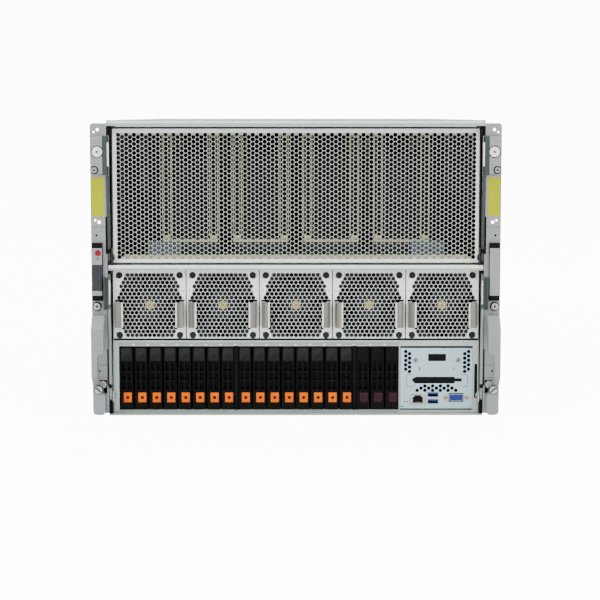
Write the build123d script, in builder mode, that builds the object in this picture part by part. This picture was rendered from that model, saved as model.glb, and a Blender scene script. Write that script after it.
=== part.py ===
from build123d import *
import os

os.makedirs("parts", exist_ok=True)

# Eight-unit GPU server, in millimetres.
# It stands on z = 0 with its front towards -Y, and x is measured from its middle plane.

# Rack standard
rack_width = 482.6
screw_span = 465.1
screw_rise = 279.4
screw_low = 33.5
rack_screw_r = 2.9
rack_head_r = 4.6
rack_head = 4.0
rack_stud = 12.0
rack_head_sides = 16
shoulder_r = 3.3
shoulder_past = 0.5

# Chassis body and sheet thicknesses
body_width = 444.0
body_height = 350.0
body_depth = 843.0
sheet = 1.5
base_sheet = 2.0
thin = 1.2

# Clearances: between sliding pieces, round pins and round buttons
slip = 0.3
pin_slip = 0.25

# Depths of the front faces behind the front of the ears
wall_setback = 16.0
base_setback = 2.0
panel_setback = 12.0
fan_setback = 14.0
carrier_setback = 14.0

# Cross shelf between the two trays
shelf_top = 179.3
shelf_sheet = 1.8
shelf_lip = 5.8
shelf_length = 640.0

# Top cover
cover_fold = 8.7
cover_soft = 0.9

# Ears
ear_sheet = 2.5
ear_flange = 50.0
ear_foot = 3.0
ear_height = 343.5
ear_corner = 4.0
flange_sheet = 1.7
ear_window_width = 11.7
ear_window_height = 14.3
ear_window_edge = 5.1

# GPU tray
gpu_tray_length = 600.0
gpu_wall_height = 158.0
gpu_low_wall = 60.0
gpu_high_run = 70.0
tray_lead = 2.0

# GPU grille: honeycomb with its cells in upright columns
grille_pitch = 31.0
grille_cell = 28.0
grille_margin = 6.5
grille_return = 8.0

# GPU modules and their board
gpu_columns = 4
gpu_rows = 2
gpu_pitch = 84.8
gpu_width = 68.0
gpu_length = 150.0
gpu_row_pitch = 190.0
gpu_first = 60.0
gpu_height = 146.0
gpu_base = 22.0
gpu_post = 11.0
gpu_post_depth = 14.0
gpu_fins = 4
gpu_fin = 1.4
board_sheet = 2.0
standoff_r = 3.0
standoff_sides = 6
standoff = 4.0

# System tray: deck under the fans, drive cage and front frame
system_tray_length = 560.0
deck_z = 87.5
deck_fold = 5.5
fan_row_height = 83.7
cage_floor = 5.0
cage_depth = 134.0
divider = 1.6
fan_bay_depth = 44.0

# Main board
main_board_start = 78.0
main_board_width = 400.0
cpu_places = (-100.0, 100.0)
cpu_width = 90.0
cpu_length = 110.0
cpu_base = 15.0
cpu_height = 60.0
cpu_fins = 9
cpu_start = 60.0
dimm_count = 3
dimm_pitch = 8.0
dimm_length = 133.35
dimm_height = 31.25
dimm_sheet = 3.0

# Fan modules, on the 71.5 mm hole pattern of an 80 mm fan
fan_count = 5
fan_pitch = 87.0
fan_plate_height = 83.1
fan_size = 80.0
fan_depth = 38.0
fan_bore = 76.0
fan_holes = 71.5
boss_r = 3.9
boss_height = 1.0
guard_pitch = 24.0
guard_cell = 21.0
guard_cells = 3
bore_sides = 20
hub_sides = 12
boss_sides = 6
shaft_sides = 12
hub_r = 17.0
blade_count = 7
blade_sheet = 1.6
blade_chord = 24.0
blade_angle = 42.0
tip_gap = 2.0
shaft_r = 2.0
strut_width = 4.0
strut_depth = 3.0
grip_height = 30.3
grip_reach = 10.0
grip_width = 9.4
grip_drop = 11.0
grip_edge = 3.0
plug_width = 20.0
plug_height = 12.0
plug_depth = 10.0

# Drive carriers for 2.5-inch drives
carrier_groups = (8, 8, 3)
carrier_pitch = 17.3
group_gap = 2.75
carrier_first = -202.3
carrier_width = 15.4
carrier_height = 76.4
bezel_depth = 11.0
carrier_length = 120.0
rail_sheet = 2.0
drive_height = 69.85
drive_width = 14.0
drive_length = 100.5
latch_width = 12.4
latch_height = 52.0
latch_depth = 7.0
vent_width = 8.4
vent_height = 13.5
vent_pitch = 15.5
vent_first = 9.3
release_size = 12.0
release_width = 10.0
bezel_margin = 2.0
release_z = 18.3
release_offset = 1.3

# Front input and output panel, and its sockets as (x, z, width, height) from the panel's lower left corner
io_left = 124.8
io_width = 85.6
io_height = 72.8
io_foot = 6.8
socket_jack = (11.6, 4.6, 18.4, 12.0)
socket_usb_low = (32.4, 4.6, 13.0, 5.7)
socket_usb_high = (32.4, 12.8, 13.0, 5.9)
socket_vga = (57.9, 6.5, 17.4, 10.1)
card_slot = (14.2, 29.0, 58.5, 7.5)
card_window = (33.4, 56.1, 20.3, 8.0)
socket_wall = 1.0
socket_depth = 21.0
io_board_sheet = 1.6
io_board_length = 90.0

# Levers
lever_sheet = 2.9
lever_pivot_depth = 7.0
lever_end_r = 6.0
lever_top_depth = 6.5
lever_pin_r = 2.5
lever_pin_head = 1.0
lever_pin_sides = 16
lever_gap = 1.5
lever_side_gap = 1.1
grip_sheet = 2.0
gpu_lever_pivot = 188.2
gpu_lever_length = 143.2
gpu_grip_width = 21.5
gpu_grip_height = 46.8
gpu_grip_straight = 33.7
thumb_opening_r = 6.6
system_lever_pivot = 23.3
system_lever_length = 142.0
system_grip_width = 7.6
system_grip_height = 38.0
system_grip_tab = 6.5

# Ear handles
handle_inset = 1.6
handle_width = 14.7
handle_height = 118.4
handle_foot = 3.0
handle_reach = 28.0
handle_base = 14.0
handle_step = 43.0
waist_cut = 6.7
waist_low = 44.0
waist_high = 76.0
finger_depth = 17.0
finger_high = 96.0
handle_boss_z = 85.6
handle_boss_r = 4.1
handle_boss_sides = 16
handle_soft = 4.0

# Ear housings and the power button
housing_inset = 1.4
housing_width = 12.4
housing_foot = 138.1
housing_height = 68.1
housing_reach = 7.0
button_r = 3.2
button_z = 194.6
button_bore = 6.0
button_length = 6.0
button_proud = 1.5

# Rear modules
psu_width = 73.5
psu_height = 40.0
psu_length = 265.0
psu_pitch = 42.0
psu_rows = 3
psu_side = 145.0
psu_handle_reach = 22.0
psu_handle_bar = 5.0
psu_handle_height = 30.0
psu_margin = 5.0
psu_slots = 3
psu_slot_pitch = 10.0
psu_slot_depth = 3.0
inlet_width = 28.0
inlet_height = 20.0
inlet_depth = 16.0
rear_fan_z = 293.5
rear_cage_depth = 70.0
slot_count = 8
slot_pitch = 20.32
slot_width = 18.4
slot_height = 118.0
slot_foot = 30.0
slot_raise = 1.0
rear_vent_z = 209.3
rear_vent_pitch = 30.5
rear_vent_length = 20.3
rear_vent_width = 5.0

# Main planes and places that follow from the sizes above
front_y = -body_depth / 2
rear_y = body_depth / 2
wall_y = front_y + wall_setback
panel_y = front_y + panel_setback
fan_y = front_y + fan_setback
duct_y = fan_y + thin
carrier_y = front_y + carrier_setback
inner_half = body_width / 2 - sheet
shell_height = body_height - sheet
ear_x = body_width / 2
ear_reach = (rack_width - body_width) / 2
screw_x = screw_span / 2
lever_x = ear_x - slip - lever_sheet
tray_half = lever_x - lever_side_gap
gpu_floor = shelf_top + slip
system_floor = base_sheet + slip
fan_foot = deck_z + sheet + slip
fan_z = fan_foot + fan_plate_height / 2
blade_y = duct_y + fan_depth / 2
fan_x = [(k - (fan_count - 1) / 2) * fan_pitch for k in range(fan_count)]
board_y = front_y + panel_setback + gpu_first
corner = (Align.MIN, Align.MIN)
foot = (Align.CENTER, Align.MIN)
head = (Align.CENTER, Align.MAX)
flat_r = 1 / 3 ** 0.5


def front(y):
    """Upright plane at depth y: local x is X, local y is Z, and a negative extrusion runs back."""
    return Plane.XZ.offset(-y)


def honeycomb(columns, rows, pitch):
    """Middles of a staggered pattern: even columns hold rows cells, odd columns one less."""
    step = pitch * 3 ** 0.5 / 2
    return [
        ((c - (columns - 1) / 2) * step, (r - (rows - 1 - c % 2) / 2) * pitch)
        for c in range(columns)
        for r in range(rows - c % 2)
    ]


def carrier_places():
    """Middles of the drive carriers along x, group by group."""
    places = []
    x = carrier_first
    for count in carrier_groups:
        for _ in range(count):
            places.append(x)
            x += carrier_pitch
        x += group_gap
    return places


def save(piece, name):
    """Labels a finished piece and writes its STEP file."""
    piece.part.label = name
    export_step(piece.part, f"parts/{name}.step")


carrier_x = carrier_places()

# Chassis shell: base and sides in one U, and the cross shelf with its front lip
with BuildPart() as chassis_shell:
    with BuildSketch(front(wall_y)):
        Rectangle(body_width, shell_height, align=foot)
        with Locations((0, base_sheet)):
            Rectangle(2 * inner_half, shell_height, align=foot, mode=Mode.SUBTRACT)
    extrude(amount=wall_y - rear_y)
    with BuildSketch(Plane.XY):
        with Locations((0, front_y + base_setback)):
            Rectangle(body_width, wall_setback, align=foot)
    extrude(amount=base_sheet)
    with BuildSketch(Plane.YZ):
        with Locations((front_y + base_setback, shelf_top - shelf_sheet)):
            Rectangle(shelf_length, shelf_sheet, align=corner)
        with Locations((front_y + base_setback, shelf_top - shelf_lip)):
            Rectangle(shelf_sheet, shelf_lip, align=corner)
    extrude(amount=inner_half + sheet / 2, both=True)
save(chassis_shell, "chassis_shell")

# Top cover: flat sheet with its front edge folded down
with BuildPart() as top_cover:
    with BuildSketch(Plane.YZ) as cover_profile:
        with Locations((front_y, shell_height)):
            Rectangle(body_depth, sheet, align=corner)
        with Locations((front_y, body_height - cover_fold)):
            Rectangle(sheet, cover_fold, align=corner)
        fillet(cover_profile.vertices().group_by(Axis.Y)[-1].sort_by(Axis.X)[0], radius=cover_soft)
    extrude(amount=body_width / 2, both=True)
save(top_cover, "top_cover")

# Rack ears: face sheet with its holes and a flange along the chassis side
with BuildPart() as rack_ears:
    with BuildSketch(front(front_y)) as ear_face:
        with Locations((ear_x, ear_foot)):
            Rectangle(ear_reach, ear_height, align=corner)
        fillet(ear_face.vertices().group_by(Axis.X)[-1], radius=ear_corner)
        with Locations((screw_x, screw_low + screw_rise)):
            Circle(shoulder_r + pin_slip, mode=Mode.SUBTRACT)
        with Locations((rack_width / 2 - ear_window_edge - ear_window_width / 2, screw_low)):
            Rectangle(ear_window_width, ear_window_height, mode=Mode.SUBTRACT)
    extrude(amount=-ear_sheet)
    with BuildSketch(front(front_y)):
        with Locations((ear_x, ear_foot)):
            Rectangle(flange_sheet, ear_height, align=corner)
    extrude(amount=-ear_flange)
    mirror(about=Plane.YZ)
save(rack_ears, "rack_ears")

# Ear handles: cast bridge with a finger gap, a narrower waist and a lobe for the lower rack screw
handle_out = rack_width / 2 - handle_inset
with BuildPart() as ear_handles:
    with BuildSketch(Plane.YZ.offset(handle_out - handle_width)) as handle_side:
        with BuildLine():
            Polyline(
                (front_y, handle_foot),
                (front_y - handle_base, handle_foot),
                (front_y - handle_base, handle_step - handle_soft),
                (front_y - handle_reach, handle_step + handle_soft * 2),
                (front_y - handle_reach, handle_foot + handle_height - handle_base),
                (front_y - handle_base, handle_foot + handle_height),
                (front_y, handle_foot + handle_height),
                close=True,
            )
        make_face()
        foot_corner = handle_side.vertices().sort_by_distance((front_y - handle_base, handle_foot))[0]
        fillet(handle_side.vertices().group_by(Axis.X)[0] + [foot_corner], radius=handle_soft)
        with Locations((front_y - finger_depth, waist_low)):
            Rectangle(finger_depth, finger_high - waist_low, align=corner, mode=Mode.SUBTRACT)
    extrude(amount=handle_width)
    with BuildSketch(front(front_y)):
        with Locations((handle_out - handle_width, waist_low)):
            Rectangle(waist_cut, waist_high - waist_low, align=corner)
    extrude(amount=handle_reach, mode=Mode.SUBTRACT)
    with BuildSketch(front(front_y)):
        with Locations((screw_x, screw_low)):
            Circle(shoulder_r + pin_slip)
    extrude(amount=handle_base, mode=Mode.SUBTRACT)
    with BuildSketch(front(front_y - handle_reach)):
        with Locations((handle_out - handle_width / 2, handle_boss_z)):
            RegularPolygon(handle_boss_r, handle_boss_sides)
    extrude(amount=boss_height)
    mirror(about=Plane.YZ)
save(ear_handles, "ear_handles")

# Ear housings: the left one holds the power button, the right one is plain
housing_out = rack_width / 2 - housing_inset
with BuildPart() as ear_housings:
    with BuildSketch(front(front_y)):
        with Locations((housing_out - housing_width, housing_foot), (-housing_out, housing_foot)):
            Rectangle(housing_width, housing_height, align=corner)
    extrude(amount=housing_reach)
    front_edges = ear_housings.edges().filter_by(Axis.Z).group_by(Axis.Y)[0]
    fillet(front_edges, radius=sheet)
    with BuildSketch(front(front_y - housing_reach)):
        with Locations((-screw_x, button_z)):
            Circle(button_r + pin_slip)
    extrude(amount=-button_bore, mode=Mode.SUBTRACT)
save(ear_housings, "ear_housings")

# Power button: round cap that sinks into its housing
with BuildPart() as power_button:
    with BuildSketch(front(front_y - housing_reach - button_proud)):
        with Locations((-screw_x, button_z)):
            Circle(button_r)
    extrude(amount=-button_length)
    chamfer(power_button.faces().sort_by(Axis.Y)[0].edges(), length=button_proud / 3)
save(power_button, "power_button")

# Ear screws: rack screws on the ear sheet and on the handle lobes, each with a shoulder and a stud
with BuildPart() as ear_screws:
    for seat, z in ((0, screw_low + screw_rise), (handle_base, screw_low)):
        with BuildSketch(front(front_y - seat)):
            with Locations((-screw_x, z), (screw_x, z)):
                RegularPolygon(rack_head_r, rack_head_sides)
        extrude(amount=rack_head)
        with BuildSketch(front(front_y - seat)):
            with Locations((-screw_x, z), (screw_x, z)):
                Circle(shoulder_r)
        extrude(amount=-(seat + ear_sheet + shoulder_past))
        with BuildSketch(front(front_y + ear_sheet + shoulder_past)):
            with Locations((-screw_x, z), (screw_x, z)):
                Circle(rack_screw_r)
        extrude(amount=-rack_stud)
save(ear_screws, "ear_screws")

# Rear panel: bays for fans and power supplies, slot covers, and the sheet cages behind it
psu_top = system_floor + psu_rows * psu_pitch
rear_fan_foot = rear_fan_z - fan_plate_height / 2
with BuildPart() as rear_panel:
    with BuildSketch(front(rear_y)):
        with Locations((0, base_sheet)):
            Rectangle(2 * inner_half, shell_height - base_sheet, align=foot)
        for x in fan_x:
            with Locations((x, rear_fan_z)):
                Rectangle(fan_size + 2 * slip, fan_size + 2 * slip, mode=Mode.SUBTRACT)
        for row in range(psu_rows):
            for side in (-1, 1):
                with Locations((side * (psu_side + psu_width / 2), system_floor + row * psu_pitch)):
                    Rectangle(psu_width + 2 * slip, psu_height + slip, align=foot, mode=Mode.SUBTRACT)
        for k in range(slot_count):
            with Locations(((k - (slot_count - 1) / 2) * rear_vent_pitch, rear_vent_z)):
                Rectangle(rear_vent_length, rear_vent_width, mode=Mode.SUBTRACT)
    extrude(amount=sheet)
    with BuildSketch(front(rear_y)):
        for k in range(slot_count):
            with Locations(((k - (slot_count - 1) / 2) * slot_pitch, slot_foot)):
                Rectangle(slot_width, slot_height, align=foot)
    extrude(amount=-slot_raise)
    with BuildSketch(front(rear_y)):
        for side in (-1, 1):
            cage_x = side * (psu_side - slip - sheet / 2)
            with Locations((cage_x, base_sheet)):
                Rectangle(sheet, psu_top - base_sheet, align=foot)
            for row in range(1, psu_rows):
                shelf_x = side * (psu_side - sheet / 2 + (inner_half - psu_side) / 2)
                with Locations((shelf_x, system_floor + row * psu_pitch - slip)):
                    Rectangle(inner_half - psu_side + sheet, psu_pitch - psu_height - 2 * slip, align=head)
    extrude(amount=psu_length)
    with BuildSketch(front(rear_y)):
        with Locations((0, rear_fan_foot - slip)):
            Rectangle(2 * inner_half, thin, align=head)
    extrude(amount=rear_cage_depth)
save(rear_panel, "rear_panel")

# GPU tray: floor, front-high side walls, low rear wall and the lugs that hold the levers
lug_y = front_y + lever_pivot_depth - lever_end_r
tray_front = panel_y - tray_lead
with BuildPart() as gpu_tray:
    with BuildSketch(Plane.XY.offset(gpu_floor)):
        with Locations((0, panel_y + thin)):
            Rectangle(2 * tray_half, gpu_tray_length, align=foot)
    extrude(amount=sheet)
    with BuildSketch(Plane.YZ.offset(tray_half - sheet)) as gpu_wall:
        with Locations((tray_front, gpu_floor)):
            Rectangle(gpu_tray_length, gpu_low_wall, align=corner)
            Rectangle(gpu_high_run, gpu_wall_height, align=corner)
        with Locations((lug_y, gpu_floor)):
            lug_height = gpu_lever_pivot - gpu_floor + 2 * lever_end_r
            Rectangle(panel_setback + lever_end_r, lug_height, align=corner)
        with Locations((front_y + lever_pivot_depth, gpu_lever_pivot)):
            Circle(lever_pin_r + pin_slip, mode=Mode.SUBTRACT)
    extrude(amount=sheet)
    mirror(about=Plane.YZ)
    with BuildSketch(front(tray_front + gpu_tray_length - sheet)):
        with Locations((0, gpu_floor)):
            Rectangle(2 * tray_half, gpu_low_wall, align=foot)
    extrude(amount=-sheet)
save(gpu_tray, "gpu_tray")

# GPU grille: honeycomb sheet with folded edges
grille_half = tray_half - sheet - slip / 3
grille_foot = gpu_floor + sheet + slip / 3
grille_height = gpu_wall_height - sheet
grille_step = grille_pitch * 3 ** 0.5 / 2
grille_columns = int((2 * (grille_half - grille_margin) - grille_cell) / grille_step) // 2 * 2 + 1
grille_rows = int((grille_height - 2 * grille_margin - grille_cell) / grille_pitch) + 1
with BuildPart() as gpu_grille:
    with BuildSketch(front(panel_y)):
        with Locations((0, grille_foot)):
            Rectangle(2 * grille_half, grille_height, align=foot)
        with Locations((0, grille_foot + grille_height / 2)):
            with Locations(*honeycomb(grille_columns, grille_rows, grille_pitch)):
                RegularPolygon(grille_cell * flat_r, 6, mode=Mode.SUBTRACT)
    extrude(amount=-thin)
    with BuildSketch(front(panel_y + thin)):
        with Locations((0, grille_foot)):
            Rectangle(2 * grille_half, thin, align=foot)
        with Locations((0, grille_foot + grille_height)):
            Rectangle(2 * grille_half, thin, align=head)
    extrude(amount=-grille_return)
save(gpu_grille, "gpu_grille")

# GPU modules: board on standoffs, and on it eight modules with a cold plate, fins and two light posts each
board_foot = gpu_floor + sheet + standoff
board_length = gpu_rows * gpu_row_pitch
gpu_span = gpu_columns * gpu_pitch
module_foot = board_foot + board_sheet
with BuildPart() as gpu_modules:
    with BuildSketch(Plane.XY.offset(board_foot)):
        with Locations((0, board_y)):
            Rectangle(gpu_span + gpu_post, board_length, align=foot)
    extrude(amount=board_sheet)
    with BuildSketch(Plane.XY.offset(gpu_floor + sheet)):
        for y in (board_y + gpu_post, board_y + board_length - gpu_post):
            with Locations((-gpu_span / 2, y), (0, y), (gpu_span / 2, y)):
                RegularPolygon(standoff_r, standoff_sides)
    extrude(amount=standoff)
    module_places = [
        ((c - (gpu_columns - 1) / 2) * gpu_pitch, board_y + r * gpu_row_pitch)
        for c in range(gpu_columns)
        for r in range(gpu_rows)
    ]
    with BuildSketch(Plane.XY.offset(module_foot)):
        with Locations(*module_places):
            Rectangle(gpu_width, gpu_length, align=foot)
    extrude(amount=gpu_base)
    fin_step = (gpu_width - 2 * gpu_post) / (gpu_fins + 1)
    with BuildSketch(Plane.XY.offset(module_foot + gpu_base)):
        for x, y in module_places:
            for k in range(gpu_fins):
                with Locations((x + (k - (gpu_fins - 1) / 2) * fin_step, y + gpu_post_depth)):
                    Rectangle(gpu_fin, gpu_length - gpu_post_depth, align=foot)
            for side in (-1, 1):
                with Locations((x + side * (gpu_width - gpu_post) / 2, y)):
                    Rectangle(gpu_post, gpu_post_depth, align=foot)
    extrude(amount=gpu_height - gpu_base)
save(gpu_modules, "gpu_modules")

# System tray: floor, walls, fan deck with a folded front edge, drive cage, front frame and the lever lugs
io_right = io_left + io_width
frame_left = carrier_first - carrier_pitch / 2
tray_back = panel_y + system_tray_length
with BuildPart() as system_tray:
    with BuildSketch(Plane.XY.offset(system_floor)):
        with Locations((0, panel_y)):
            Rectangle(2 * tray_half, system_tray_length, align=foot)
    extrude(amount=sheet)
    with BuildSketch(Plane.YZ.offset(tray_half - sheet)):
        with Locations((panel_y, system_floor)):
            Rectangle(system_tray_length, deck_z - system_floor + sheet, align=corner)
        with Locations((duct_y + slip, deck_z)):
            Rectangle(fan_bay_depth, fan_row_height, align=corner)
        with Locations((lug_y, system_lever_pivot - lever_end_r)):
            Rectangle(panel_setback + lever_end_r, 2 * lever_end_r, align=corner)
        with Locations((front_y + lever_pivot_depth, system_lever_pivot)):
            Circle(lever_pin_r + pin_slip, mode=Mode.SUBTRACT)
    extrude(amount=sheet)
    mirror(about=Plane.YZ)
    with BuildSketch(Plane.YZ):
        with Locations((panel_y, deck_z)):
            Rectangle(system_tray_length, sheet, align=corner)
        with Locations((panel_y, deck_z - deck_fold)):
            Rectangle(sheet, deck_fold, align=corner)
    extrude(amount=tray_half - sheet / 2, both=True)
    with BuildSketch(front(panel_y)):
        with Locations((-tray_half, system_floor)):
            Rectangle(tray_half + frame_left, deck_z - system_floor, align=corner)
        with Locations((io_right + slip, system_floor)):
            Rectangle(tray_half - io_right - slip, deck_z - system_floor, align=corner)
        with Locations((0, system_floor)):
            Rectangle(2 * tray_half, cage_floor - system_floor, align=foot)
    extrude(amount=-sheet)
    with BuildSketch(front(panel_y + sheet)):
        with Locations((frame_left, system_floor)):
            Rectangle(io_left - frame_left, cage_floor - system_floor, align=corner)
        group_edges = [sum(carrier_groups[:n]) - 1 for n in range(1, len(carrier_groups))]
        group_walls = [carrier_x[k] + (carrier_pitch + group_gap) / 2 for k in group_edges]
        for wall_x in group_walls + [frame_left - divider / 2, io_left - slip - divider / 2]:
            with Locations((wall_x, system_floor)):
                Rectangle(divider, deck_z - system_floor, align=foot)
    extrude(amount=-cage_depth)
    with BuildSketch(front(duct_y + slip)):
        for k in range(1, fan_count):
            with Locations(((k - fan_count / 2) * fan_pitch, deck_z)):
                Rectangle(thin, fan_row_height, align=foot)
    extrude(amount=-fan_bay_depth)
save(system_tray, "system_tray")

# Main board: board on the deck, two finned processor coolers, memory modules and the fan sockets
main_board_y = panel_y + main_board_start
with BuildPart() as main_board:
    with BuildSketch(Plane.XY.offset(deck_z + sheet)):
        with Locations((0, main_board_y)):
            Rectangle(main_board_width, tray_back - main_board_y - sheet, align=foot)
    extrude(amount=board_sheet)
    main_board_top = deck_z + sheet + board_sheet
    with BuildSketch(Plane.XY.offset(main_board_top)):
        for x in cpu_places:
            with Locations((x, main_board_y + cpu_start)):
                Rectangle(cpu_width, cpu_length, align=foot)
    extrude(amount=cpu_base)
    with BuildSketch(Plane.XY.offset(main_board_top + cpu_base)):
        for x in cpu_places:
            for k in range(cpu_fins):
                fin_x = x + (k - (cpu_fins - 1) / 2) * (cpu_width - thin) / (cpu_fins - 1)
                with Locations((fin_x, main_board_y + cpu_start)):
                    Rectangle(thin, cpu_length, align=foot)
    extrude(amount=cpu_height - cpu_base)
    with BuildSketch(Plane.XY.offset(main_board_top)):
        for x in cpu_places:
            for side in (-1, 1):
                for k in range(dimm_count):
                    dimm_x = x + side * (cpu_width / 2 + 2 * dimm_sheet + k * dimm_pitch)
                    with Locations((dimm_x, main_board_y + cpu_start)):
                        Rectangle(dimm_sheet, dimm_length, align=foot)
    extrude(amount=dimm_height)
save(main_board, "main_board")

# Drive backplane: board across the cage, with one socket for each drive
backplane_y = panel_y + sheet + cage_depth + board_sheet
bay_z = cage_floor + slip
with BuildPart() as drive_backplane:
    with BuildSketch(front(backplane_y)):
        with Locations((frame_left, cage_floor)):
            Rectangle(io_left - frame_left - divider, deck_z - cage_floor, align=corner)
    extrude(amount=board_sheet)
    with BuildSketch(front(backplane_y - board_sheet)):
        with Locations(*[(x, bay_z + carrier_height / 2) for x in carrier_x]):
            Rectangle(rail_sheet * 2, carrier_height / 2)
    extrude(amount=rail_sheet * 2)
save(drive_backplane, "drive_backplane")

# Front panel for input and output, with its socket windows and the slot for a low card
sockets = (socket_jack, socket_usb_low, socket_usb_high, socket_vga)
with BuildPart() as io_panel:
    with BuildSketch(front(panel_y)) as io_face:
        with Locations((io_left, io_foot)):
            Rectangle(io_width, io_height, align=corner)
        fillet(io_face.vertices(), radius=sheet)
        for x, z, width, height in (*sockets, card_slot, card_window):
            with Locations((io_left + x - slip, io_foot + z - slip)):
                Rectangle(width + 2 * slip, height + 2 * slip, align=corner, mode=Mode.SUBTRACT)
    extrude(amount=-thin)
    with BuildSketch(front(panel_y + thin)):
        with Locations((io_left, io_foot)):
            Rectangle(io_width, sheet, align=corner)
    extrude(amount=-grille_return)
save(io_panel, "io_panel")

# Front sockets on their board, each an open shell that reaches through the panel
io_board_z = io_foot + socket_jack[1]
with BuildPart() as io_connectors:
    with BuildSketch(Plane.XY.offset(io_board_z)):
        with Locations((io_left + sheet, panel_y + thin + slip)):
            Rectangle(io_width - 2 * sheet, io_board_length, align=corner)
    extrude(amount=-io_board_sheet)
    for x, z, width, height in sockets:
        with BuildSketch(front(panel_y + thin + slip)):
            with Locations((io_left + x, io_board_z)):
                Rectangle(width, io_foot + z + height - io_board_z, align=corner)
        extrude(amount=-(socket_depth - thin - slip))
        with BuildSketch(front(panel_y)):
            with Locations((io_left + x, io_foot + z)):
                Rectangle(width, height, align=corner)
        extrude(amount=-socket_depth)
        with BuildSketch(front(panel_y)):
            with Locations((io_left + x + socket_wall, io_foot + z + socket_wall)):
                Rectangle(width - 2 * socket_wall, height - 2 * socket_wall, align=corner)
        extrude(amount=-(socket_depth - 2 * socket_wall), mode=Mode.SUBTRACT)
    with BuildSketch(Plane.XY.offset(system_floor + sheet)):
        for x in (io_left + 3 * standoff_r, io_right - 3 * standoff_r):
            for y in (grille_return + 3 * standoff_r, io_board_length - 3 * standoff_r):
                with Locations((x, panel_y + y)):
                    RegularPolygon(standoff_r, standoff_sides)
    extrude(amount=io_board_z - io_board_sheet - system_floor - sheet)
save(io_connectors, "io_connectors")

# Levers: each turns on a riveted pin through the lug of its tray, and its grip stands in front of the ear
lever_y = front_y + lever_pivot_depth
grip_y = front_y - lever_gap
for side, side_name in ((-1, "left"), (1, "right")):
    arm_plane = Plane.YZ.offset(side * (lever_x + lever_sheet / 2))
    for lever_name, pivot_z, length in (
        ("gpu_lever", gpu_lever_pivot, gpu_lever_length),
        ("system_lever", system_lever_pivot, system_lever_length),
    ):
        with BuildPart() as lever:
            with BuildSketch(arm_plane):
                with BuildLine():
                    Polyline(
                        (lever_y - lever_end_r, pivot_z),
                        (grip_y - grip_sheet, pivot_z + length - gpu_grip_height),
                        (grip_y - grip_sheet, pivot_z + length),
                        (grip_y - grip_sheet + lever_top_depth, pivot_z + length),
                        (lever_y + lever_end_r, pivot_z),
                        close=True,
                    )
                make_face()
                with Locations((lever_y, pivot_z)):
                    Circle(lever_end_r)
            extrude(amount=lever_sheet / 2, both=True)
            with BuildSketch(arm_plane):
                with Locations((lever_y, pivot_z)):
                    Circle(lever_pin_r)
            extrude(amount=-side * (lever_x + lever_sheet / 2 - tray_half + sheet + slip))
            with BuildSketch(Plane.YZ.offset(side * (tray_half - sheet - slip))):
                with Locations((lever_y, pivot_z)):
                    RegularPolygon(lever_pin_r + lever_pin_head, lever_pin_sides)
            extrude(amount=-side * lever_pin_head)
            with BuildSketch(front(grip_y - grip_sheet)) as grip:
                if lever_name == "gpu_lever":
                    top_z = pivot_z + length
                    with BuildLine():
                        Polyline(
                            (side * lever_x, top_z),
                            (side * (lever_x + gpu_grip_width), top_z),
                            (side * (lever_x + gpu_grip_width), top_z - gpu_grip_straight),
                            (side * lever_x, top_z - gpu_grip_height),
                            close=True,
                        )
                    make_face()
                    outer = grip.vertices().group_by(Axis.X)[-1 if side > 0 else 0]
                    fillet(outer, radius=ear_corner)
                    with Locations((side * screw_x, screw_low + screw_rise)):
                        Circle(thumb_opening_r, mode=Mode.SUBTRACT)
                else:
                    with Locations((side * (lever_x + system_grip_width / 2), pivot_z + length)):
                        Rectangle(system_grip_width, system_grip_height, align=head)
            extrude(amount=-grip_sheet)
            if lever_name == "system_lever":
                with BuildSketch(front(grip_y - grip_sheet)):
                    tab_x = lever_x + system_grip_width - grip_sheet / 2
                    with Locations((side * tab_x, pivot_z + length)):
                        Rectangle(grip_sheet, system_grip_height, align=head)
                extrude(amount=system_grip_tab)
        save(lever, f"{lever_name}_{side_name}")

# Fan modules: guard plate, casing with its round duct, two finger grips and the plug at the back
for k, x in enumerate(fan_x, start=1):
    with BuildPart() as fan_module:
        with BuildSketch(front(fan_y)):
            with Locations((x, fan_z)):
                Rectangle(fan_pitch - 2 * slip, fan_plate_height)
                with Locations(*honeycomb(guard_cells, guard_cells, guard_pitch)):
                    RegularPolygon(guard_cell * flat_r, 6, mode=Mode.SUBTRACT)
        extrude(amount=-thin)
        with BuildSketch(front(fan_y)):
            with Locations((x, fan_z)):
                with GridLocations(fan_holes, fan_holes, 2, 2):
                    RegularPolygon(boss_r, boss_sides)
        extrude(amount=boss_height)
        with BuildSketch(front(duct_y)):
            with Locations((x, fan_z)):
                Rectangle(fan_size, fan_size)
                RegularPolygon(fan_bore / 2, bore_sides, mode=Mode.SUBTRACT)
        extrude(amount=-fan_depth)
        with BuildSketch(front(duct_y + fan_depth)):
            with Locations((x, fan_z)):
                Rectangle(fan_bore, strut_width)
                Rectangle(strut_width, fan_bore)
                RegularPolygon(hub_r, hub_sides)
                RegularPolygon(shaft_r + pin_slip, shaft_sides, mode=Mode.SUBTRACT)
        extrude(amount=strut_depth)
        with BuildSketch(front(duct_y + fan_depth)):
            with Locations((x, fan_z - fan_size / 2)):
                Rectangle(plug_width, plug_height, align=foot)
        extrude(amount=-plug_depth)
        for side in (-1, 1):
            root_x = x + side * (fan_pitch / 2 - grip_edge)
            with BuildSketch(Plane.XY.offset(fan_z - grip_drop - grip_height / 2)):
                with Locations((root_x, fan_y)):
                    Rectangle(thin, grip_reach, align=(Align.MAX if side > 0 else Align.MIN, Align.MAX))
                with Locations((root_x, fan_y - grip_reach)):
                    Rectangle(grip_width, thin, align=(Align.MAX if side > 0 else Align.MIN, Align.MIN))
            extrude(amount=grip_height)
    save(fan_module, f"fan_module_{k}")

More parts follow.
